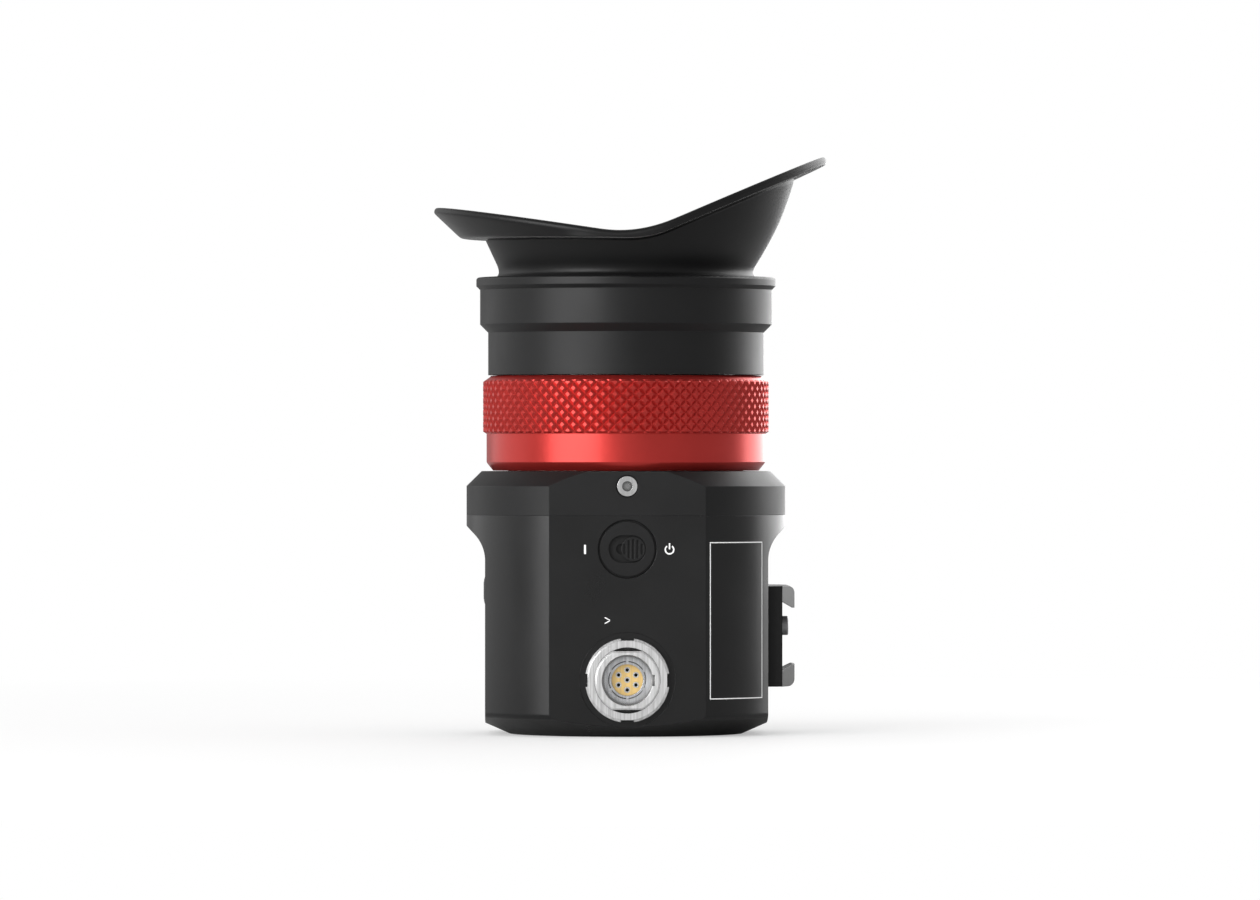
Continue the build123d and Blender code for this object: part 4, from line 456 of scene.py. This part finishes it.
def knurl_sleeve():
    """Closed sleeve of pointed diamonds.

    A grid is wrapped round the axis and poked into diamonds. They are inset to their points and turned
    down to the blank, and an inner wall closes the sleeve.
    """
    cell = 2 * pi * GROOVE_ROOT / DIAMONDS_ROUND
    rows = int((SLEEVE_HIGH - SLEEVE_LOW) / cell) + SLEEVE_SPARE_ROWS
    middle = (GRIP_LOW + GRIP_HIGH) / 2
    bm = bmesh.new()
    bmesh.ops.create_grid(bm, x_segments=DIAMONDS_ROUND, y_segments=rows, size=1)
    for vert in bm.verts:
        turn = pi * vert.co.x
        vert.co = (cos(turn), sin(turn), middle + vert.co.y * rows * cell / 2)
        set_radius(vert, GROOVE_ROOT)
    bmesh.ops.remove_doubles(bm, verts=bm.verts, dist=SLEEVE_WELD)
    old_lines = [line for line in bm.edges if not line.is_boundary]
    bmesh.ops.poke(bm, faces=bm.faces)
    bmesh.ops.dissolve_edges(bm, edges=old_lines, use_verts=False)
    for vert in bm.verts:
        set_radius(vert, GROOVE_ROOT)
    bmesh.ops.recalc_face_normals(bm, faces=bm.faces)
    if sum(face.normal.dot(face.calc_center_median()) for face in bm.faces) < 0:
        bmesh.ops.reverse_faces(bm, faces=bm.faces)
    bmesh.ops.inset_individual(bm, faces=bm.faces, thickness=DIAMOND_SLOPE, depth=GRIP_RADIUS - GROOVE_ROOT,
                               use_even_offset=True)
    cut_level(bm, GRIP_LOW)
    cut_level(bm, GRIP_HIGH)
    cut_level(bm, SLEEVE_LOW, clear_inner=True)
    cut_level(bm, SLEEVE_HIGH, clear_outer=True)
    for vert in bm.verts:
        set_radius(vert, min(hypot(vert.co.x, vert.co.y), max(GROOVE_ROOT, blank_radius(vert.co.z))))
    rims = [line for line in bm.edges if line.is_boundary]
    walls = bmesh.ops.extrude_edge_only(bm, edges=rims)["geom"]
    for vert in walls:
        if isinstance(vert, bmesh.types.BMVert):
            set_radius(vert, GROOVE_ROOT - SLEEVE_WALL)
    bmesh.ops.bridge_loops(bm, edges=[line for line in bm.edges if line.is_boundary])
    return bm


def make_focus_ring():
    """Focus ring: plain lower band, knurled grip and bevelled crown."""
    bm = knurl_sleeve()
    turn_outline(bm, [
        (RING_BORE, RING_BOTTOM), (FOOT_FACE, RING_BOTTOM), (FOOT_RADIUS, RING_BOTTOM + FOOT_CHAMFER),
        (BAND_RADIUS - BAND_CHAMFER, BAND_LOW - BAND_CHAMFER_DROP), (BAND_RADIUS, BAND_LOW + BAND_CHAMFER),
        (BAND_RADIUS, BAND_HIGH), (GROOVE_ROOT, SLEEVE_LOW),
        (GROOVE_ROOT - CORE_INSET, SLEEVE_LOW + CORE_STEP),
        (GROOVE_ROOT - CORE_INSET, SLEEVE_HIGH - CORE_STEP), (GROOVE_ROOT, SLEEVE_HIGH),
        (CROWN_RADIUS, CROWN_HEIGHT), (CROWN_FACE, RING_TOP), (RING_LEDGE + LEDGE_CHAMFER, RING_TOP),
        (RING_LEDGE, RING_TOP - LEDGE_CHAMFER), (RING_LEDGE, RING_LEDGE_HEIGHT),
        (RING_BORE, RING_LEDGE_HEIGHT),
    ], steps=3 * DIAMONDS_ROUND)
    ring = finish_piece(bm, "knurled_focus_ring", "focus_ring", satin_red, ("focus_ring",),
                        angle=RING_SMOOTH_ANGLE)
    softening = ring.modifiers.new("softened edges", "BEVEL")
    softening.width = RING_EDGE_SOFTENING * METRES
    softening.segments = 1
    softening.limit_method = "ANGLE"
    softening.angle_limit = radians(RING_SMOOTH_ANGLE)


# Rubber eyecup

RIM_LOW_X, RIM_LOW_Z, RIM_BLEND = 1.92, 91.65, 3.9
RIM_LEFT, RIM_RIGHT = tan(radians(8.6)), tan(radians(23.4))
RIM_CENTRE, RIM_LONG, RIM_WIDE = 0.72, 36.35, 31.6
WING_CORNER, WING_FOOT, WING_BLEND = 29.6, 90.9, 1.2
SHELF_HEIGHT, SHELF_SLOPE, SHELF_BLEND = 91.05, 0.015, 1.7
FLOOR_HEIGHT, FLOOR_END, FLOOR_RIM_START = 92.4, -2, 6
BRIM_THICKNESS, BRIM_EDGE, BRIM_SLANT, BRIM_STEP = 1.65, 1.3, 1.1, 0.12
THROAT_RADIUS, THROAT_HEIGHT, BORE_RADIUS = 23.5, 85.8, 22.0
CONE_SLOPE = tan(radians(24.9))
FULL_SLOPE, FULL_CURVE = 0.75, 0.0175
NECK_HEIGHT, WALL_HEIGHT, CREASE_ZONE = 86.3, 87.4, 1.0
BEAD_SIZE, CREASE_GROOVE = 0.16, 0.42
FLOOR_BEND, LIP_WIDTH = 3.0, 2.3
COLLAR_OUTSIDE = [(21.0, 81.1), (22.6, 81.1), (22.6, 83.6), (22.7, 84.12), (24.05, 84.14), (24.1, 84.3),
                  (23.62, 84.8), (23.5, 85.35)]
COLLAR_INSIDE = [(22.05, 86.0), (21.9, 85.6), (21.0, 84.1), (21.0, 83.5)]
CUP_STEPS, CUP_SUBDIVISIONS = 112, 2
CAGE_START = 10
MEETING_STEPS, MEETING_STRIDE, REACH_STEPS = 40, 0.6, 30


def rim_height(x):
    """Height of the rim over a place along X: two slopes with a soft dip between them."""
    return RIM_LOW_Z + soft_max(RIM_LEFT * (RIM_LOW_X - x), RIM_RIGHT * (x - RIM_LOW_X), RIM_BLEND)


def shelf_height(x):
    """Underside of the brim: nearly level on the low side, rising with the rim on the other."""
    rising = RIM_LOW_Z + RIM_RIGHT * (x - RIM_LOW_X) - BRIM_THICKNESS
    return soft_max(SHELF_HEIGHT - SHELF_SLOPE * x, rising, SHELF_BLEND)


def floor_height(x):
    """Inner floor of the cup: level inside the wing, one with the rim on the high side."""
    return FLOOR_HEIGHT + (rim_height(x) - FLOOR_HEIGHT) * smooth_step(x, FLOOR_END, FLOOR_RIM_START)


def cone_radius(angle, height):
    """Outside of the flared wall, straight on the low side and fuller on the high side."""
    rise = height - THROAT_HEIGHT
    straight = CONE_SLOPE * rise
    full = FULL_SLOPE * rise - FULL_CURVE * rise * rise
    return THROAT_RADIUS + straight + (full - straight) * smooth_step(cos(angle), 0.1, 0.9)


def bore_radius(height):
    """Inside of the flared wall, a straight cone all round."""
    return BORE_RADIUS + CONE_SLOPE * (height - THROAT_HEIGHT)


def meeting_height(angle, radius_at, height_at):
    """Height at which a wall meets a surface, found by stepping towards it."""
    height = SHELF_HEIGHT
    for _ in range(MEETING_STEPS):
        height += MEETING_STRIDE * (height_at(radius_at(height) * cos(angle)) - height)
    return height


def rim_radius(angle):
    """Reach of the rim: an oval, drawn in to the wing's slanting wall where that is closer."""
    wing = RIM_WIDE
    for _ in range(REACH_STEPS):
        wing = WING_CORNER + rim_height(wing * cos(angle)) - WING_FOOT
    across, along = cos(angle) / RIM_LONG, sin(angle) / RIM_WIDE
    square = across * across + along * along
    offset = across * RIM_CENTRE / RIM_LONG
    left = offset * offset - square * (RIM_CENTRE**2 / RIM_LONG**2 - 1)
    oval = (offset + sqrt(left)) / square
    return -soft_max(-wing, -oval, WING_BLEND)


def cup_section(angle):
    """Closed cross-section of the eyecup at an angle round the axis, as (radius, height) points."""
    reach = rim_radius(angle)
    top = rim_height(reach * cos(angle))
    crease = meeting_height(angle, lambda height: cone_radius(angle, height), shelf_height)
    throat = cone_radius(angle, crease)
    along = throat * cos(angle)
    bead = BEAD_SIZE * smooth_step(along, 8, 16) * (1 - smooth_step(along, 24, 29))
    groove = CREASE_GROOVE * (1 - smooth_step(along, 6, 15))
    corner = reach
    for _ in range(REACH_STEPS):
        drop = top - shelf_height(corner * cos(angle))
        slant = BRIM_SLANT * (drop - BRIM_EDGE) * smooth_step(drop, 1.9, 3.2)
        corner = reach - max(BRIM_STEP, slant)
    under = shelf_height(corner * cos(angle))
    inner_end = meeting_height(angle, bore_radius, floor_height)
    inner = bore_radius(inner_end)
    bend = inner + FLOOR_BEND
    bend_height = floor_height(bend * cos(angle))
    lip = reach - LIP_WIDTH
    lip_height = rim_height(lip * cos(angle))

    def on_cone(height, out=0.0):
        return cone_radius(angle, height) + out, height

    def between(first, second, share):
        return tuple(a + (b - a) * share for a, b in zip(first, second))

    shelf_in, shelf_out = (throat - groove, crease), (corner, under)
    wall_top, rim = (reach - 0.06, top - 1.2), (reach, top)
    inner_low, inner_high = (bend, bend_height), (lip, lip_height)
    floor_end, bore = (inner, inner_end), (BORE_RADIUS, THROAT_HEIGHT)
    flared_wall = [
        on_cone(NECK_HEIGHT, -0.03), on_cone(WALL_HEIGHT), on_cone((WALL_HEIGHT + crease - CREASE_ZONE) / 2),
        on_cone(crease - CREASE_ZONE), on_cone(crease - 0.72), on_cone(crease - 0.56, bead * 0.7),
        on_cone(crease - 0.43, bead), on_cone(crease - 0.33, bead * 0.7 - groove * 0.15),
        on_cone(crease - 0.26, bead * 0.3 - groove * 0.9), on_cone(crease - 0.1, -groove),
    ]
    underside = [shelf_in, *(between(shelf_in, shelf_out, share) for share in (0.06, 0.5, 0.82)), shelf_out]
    brim_edge = [
        between(shelf_out, wall_top, 0.16), between(shelf_out, wall_top, 0.85), wall_top,
        (reach, top - 0.95), (reach, top - 0.6), (reach - 0.26, top - 0.15),
        (reach - 0.8, rim_height((reach - 0.8) * cos(angle))), between(inner_high, rim, 0.25),
    ]
    inner_slope = [
        inner_high, between(inner_high, inner_low, 0.12), between(inner_high, inner_low, 0.5),
        between(inner_low, inner_high, 0.14), inner_low,
    ]
    floor_and_bore = [
        between(inner_low, floor_end, 0.25), between(inner_low, floor_end, 0.8), floor_end,
        between(floor_end, bore, 0.14), between(floor_end, bore, 0.6),
    ]
    return [*COLLAR_OUTSIDE, *flared_wall, *underside, *brim_edge, *inner_slope, *floor_and_bore,
            *COLLAR_INSIDE]


def make_eyecup():
    """Moulded eyecup: one spun cage whose sections follow the slanting rim, smoothed by subdivision.

    The cage is spun flat, with a radius for each point of the section, and its vertices are then moved to
    their places.
    """
    angles = [2 * pi * step / CUP_STEPS for step in range(CUP_STEPS)]
    sections = [cup_section(angle) for angle in angles]
    bm = bmesh.new()
    turn_outline(bm, [(CAGE_START + index, 0) for index in range(len(sections[0]))], steps=CUP_STEPS)
    for vert in bm.verts:
        step = round(atan2(vert.co.y, vert.co.x) / (2 * pi) * CUP_STEPS) % CUP_STEPS
        radius, height = sections[step][round(hypot(vert.co.x, vert.co.y) - CAGE_START)]
        vert.co = (radius * cos(angles[step]), radius * sin(angles[step]), height)
    cup = finish_piece(bm, "rubber_eyecup", "eyecup", cup_rubber, ("eyecup",), angle=180)
    smoothing = cup.modifiers.new("smoothed rubber", "SUBSURF")
    smoothing.levels = CUP_SUBDIVISIONS
    smoothing.render_levels = CUP_SUBDIVISIONS


# Printed marks

INK = 0.02
LABEL_START, LABEL_END = radians(30.7), radians(57.3)
LABEL_LOW, LABEL_HIGH, LABEL_LINE, LABEL_CELLS = 6.93, 35.6, 0.18, 24
ON_X, ON_Z, ON_LENGTH, ON_WIDTH = -7.71, 34.29, 1.7, 0.36
POWER_X, POWER_Z, POWER_OUTER, POWER_INNER = 7.69, 34.24, 0.9, 0.64
POWER_START, POWER_SWEEP, POWER_STEPS = radians(-55), radians(290), 40
POWER_BAR_Z, POWER_BAR_LENGTH, POWER_BAR_WIDTH = 34.86, 1.12, 0.26
ARROW_X, ARROW_Z, ARROW_SPREAD, ARROW_TURN = -3.65, 21.34, 0.3, radians(62)
ARROW_LENGTH, ARROW_WIDTH = 1.07, 0.18


def make_label_frame():
    """Thin printed frame of the empty label field, wrapped on the round flank of the housing."""
    width, height = BODY_RADIUS * (LABEL_END - LABEL_START), LABEL_HIGH - LABEL_LOW
    bm = bmesh.new()
    bmesh.ops.create_grid(bm, x_segments=LABEL_CELLS, y_segments=LABEL_CELLS, size=0.5)
    bmesh.ops.scale(bm, vec=(width, height, 1), verts=bm.verts)
    field = bm.faces[:]
    bmesh.ops.inset_region(bm, faces=field, thickness=LABEL_LINE, use_boundary=True, use_even_offset=True)
    bmesh.ops.delete(bm, geom=field, context="FACES")
    bmesh.ops.solidify(bm, geom=bm.faces[:], thickness=2 * INK)
    middle = sum(vert.co.z for vert in bm.verts) / len(bm.verts)
    for vert in bm.verts:
        angle = (LABEL_START + LABEL_END) / 2 + vert.co.x / BODY_RADIUS - pi / 2
        radius = BODY_RADIUS + (INK if vert.co.z > middle else -INK)
        vert.co = (radius * cos(angle), radius * sin(angle), (LABEL_LOW + LABEL_HIGH) / 2 + vert.co.y)
    finish_piece(bm, "label_frame", "housing", white_ink)


def add_bar(bm, x, z, length, width, turn=0.0):
    """Printed bar on the front flat, upright unless it is turned."""
    made = bmesh.ops.create_cube(bm, size=1)["verts"]
    bmesh.ops.scale(bm, vec=(width, 2 * INK, length), verts=made)
    bmesh.ops.rotate(bm, cent=(0, 0, 0), matrix=Matrix.Rotation(turn, 3, "Y"), verts=made)
    bmesh.ops.translate(bm, vec=(x, -FRONT_FLAT, z), verts=made)


def make_marks():
    """Printed marks of the power switch, and the arrow that points at the socket."""
    bm = bmesh.new()
    add_bar(bm, ON_X, ON_Z, ON_LENGTH, ON_WIDTH)
    finish_piece(bm, "switch_mark_on", "housing", white_ink)
    bm = bmesh.new()
    corners = [bm.verts.new((radius, side * INK, 0)) for radius, side in
               ((POWER_INNER, -1), (POWER_OUTER, -1), (POWER_OUTER, 1), (POWER_INNER, 1))]
    band = bm.faces.new(corners)
    bmesh.ops.rotate(bm, cent=(0, 0, 0), matrix=Matrix.Rotation(POWER_START, 3, "Y"), verts=corners)
    bmesh.ops.spin(bm, geom=[band], cent=(0, 0, 0), axis=(0, 1, 0), angle=POWER_SWEEP, steps=POWER_STEPS)
    bmesh.ops.translate(bm, vec=(POWER_X, -FRONT_FLAT, POWER_Z), verts=bm.verts)
    add_bar(bm, POWER_X, POWER_BAR_Z, POWER_BAR_LENGTH, POWER_BAR_WIDTH)
    finish_piece(bm, "switch_mark_power", "housing", white_ink)
    bm = bmesh.new()
    for side in (1, -1):
        add_bar(bm, ARROW_X, ARROW_Z + side * ARROW_SPREAD, ARROW_LENGTH, ARROW_WIDTH,
                turn=-side * ARROW_TURN)
    finish_piece(bm, "socket_arrow", "housing", white_ink)


# Camera, floor and light, with their distances in metres

CAMERA_YAW = radians(0.6)
CAMERA_DISTANCE, CAMERA_SHIFT, CAMERA_HEIGHT = 1.6, 0.00076, 0.0524
CAMERA_LENS, CAMERA_SENSOR = 246.857, 36
FLOOR_COLOUR, FLOOR_MIRRORED_SHADE = (0.95, 0.95, 0.95, 1), (0.46, 0.46, 0.46, 1)
FLOOR_ROUGHNESS, FLOOR_HALF_WIDTH = 0.7, 6
FADE_NEAR, FADE_FAR, FADE_SHARE_NEAR = 0.06, 0.4, 0.4
WHITE = (1, 1, 1, 1)
SKY_LIGHT, SKY_MIRRORED, SKY_SEEN = 0.78, 0.33, 1.0
LIGHT_AIM = Vector((0, 0, 0.055))

# Name, azimuth and elevation in degrees, distance, width, height, power in watts, reflections only.
SOFTBOXES = (
    ("key_softbox", -43, 14, 1.1, 0.92, 0.7, 10.3, False),
    ("left_softbox", -116, 12, 1.1, 1.2, 0.9, 2.7, False),
    ("rear_softbox", 143, 14, 0.9, 1.1, 1.0, 12.0, True),
    ("front_softbox", 0, 3, 2.6, 0.9, 0.9, 0.4, False),
)


def make_camera():
    """Level camera a little to the left of the front, aimed a hair to the right of the axis."""
    data = bpy.data.cameras.new("studio_camera")
    data.lens = CAMERA_LENS
    data.sensor_width = CAMERA_SENSOR
    camera = bpy.data.objects.new("studio_camera", data)
    camera.location = (-CAMERA_DISTANCE * sin(CAMERA_YAW) + CAMERA_SHIFT * cos(CAMERA_YAW),
                       -CAMERA_DISTANCE * cos(CAMERA_YAW) - CAMERA_SHIFT * sin(CAMERA_YAW), CAMERA_HEIGHT)
    camera.rotation_euler = (radians(90), 0, -CAMERA_YAW)
    bpy.context.scene.collection.objects.link(camera)
    bpy.context.scene.camera = camera


def make_floor():
    """White floor that keeps the object's soft shadow and fades into the white background.

    Reflections see a darker floor than the camera does: painted shade, standing in for the shadowed floor
    under the object.
    """
    material, tree, paper = new_material("studio_floor")
    paper.inputs["Base Color"].default_value = FLOOR_COLOUR
    paper.inputs["Roughness"].default_value = FLOOR_ROUGHNESS
    glow = node(tree, "ShaderNodeEmission", {"Color": WHITE, "Strength": 1.0})
    # Painted shade: glossy rays see this grey floor in place of the white one.
    dark = node(tree, "ShaderNodeBsdfDiffuse", {"Color": FLOOR_MIRRORED_SHADE})
    rays = node(tree, "ShaderNodeLightPath")
    place = node(tree, "ShaderNodeTexCoord").outputs["Object"]
    away = node(tree, "ShaderNodeVectorMath", {0: place}, operation="LENGTH")
    fade = ranged(tree, away.outputs["Value"], FADE_SHARE_NEAR, 1.0, FADE_NEAR, FADE_FAR)
    seen = figured(tree, "MULTIPLY", rays.outputs["Is Camera Ray"], fade)
    calm = node(tree, "ShaderNodeMixShader", {
        0: rays.outputs["Is Glossy Ray"], 1: paper.outputs[0], 2: dark.outputs[0],
    })
    blend = node(tree, "ShaderNodeMixShader", {0: seen, 1: calm.outputs[0], 2: glow.outputs[0]})
    tree.links.new(blend.outputs[0], tree.nodes["Material Output"].inputs["Surface"])
    bm = bmesh.new()
    bmesh.ops.create_grid(bm, x_segments=2, y_segments=2, size=FLOOR_HALF_WIDTH)
    floor = add_object(bm, "studio_floor", material)


def make_world():
    """White surroundings for the camera and through glass, dimmer as a light and in reflections."""
    world = bpy.data.worlds.new("studio_world")
    bpy.context.scene.world = world
    world.use_nodes = True
    tree = world.node_tree
    output = next(part for part in tree.nodes if part.type == "OUTPUT_WORLD")
    rays = node(tree, "ShaderNodeLightPath")
    clear = figured(tree, "MAXIMUM", rays.outputs["Is Camera Ray"], rays.outputs["Is Transmission Ray"])
    soft, mirrored, white = (
        node(tree, "ShaderNodeBackground", {"Color": WHITE, "Strength": strength}).outputs[0]
        for strength in (SKY_LIGHT, SKY_MIRRORED, SKY_SEEN)
    )
    lit = node(tree, "ShaderNodeMixShader", {0: rays.outputs["Is Glossy Ray"], 1: soft, 2: mirrored})
    blend = node(tree, "ShaderNodeMixShader", {0: clear, 1: lit.outputs[0], 2: white})
    tree.links.new(blend.outputs[0], output.inputs["Surface"])


def add_softbox(name, azimuth, elevation, distance, width, height, power, reflections_only):
    """Rectangular softbox aimed at the middle of the object; azimuth runs from the camera to the right.

    Where it gives reflections only, matt surfaces such as the floor take no light from it.
    """
    data = bpy.data.lights.new(name, "AREA")
    data.shape = "RECTANGLE"
    data.size, data.size_y = width, height
    data.energy = power
    light = bpy.data.objects.new(name, data)
    turn, lift = radians(azimuth), radians(elevation)
    away = Vector((sin(turn) * cos(lift), -cos(turn) * cos(lift), sin(lift)))
    light.location = LIGHT_AIM + away * distance
    light.rotation_euler = away.to_track_quat("Z", "Y").to_euler()
    light.visible_camera = False
    light.visible_diffuse = not reflections_only
    bpy.context.scene.collection.objects.link(light)


slots = {part["node"]: part["material_slot"] for part in frame["record"]["subparts"]}
for name, piece in frame["nodes"].items():
    for place in piece.material_slots:
        place.material = special_finishes.get(name, finishes[slots[name]])

make_camera()
make_floor()
make_world()
for softbox in SOFTBOXES:
    add_softbox(*softbox)
make_focus_ring()
make_eyecup()
make_label_frame()
make_marks()

scene = bpy.context.scene
scene.view_settings.view_transform = "Standard"
bpy.context.view_layer.update()
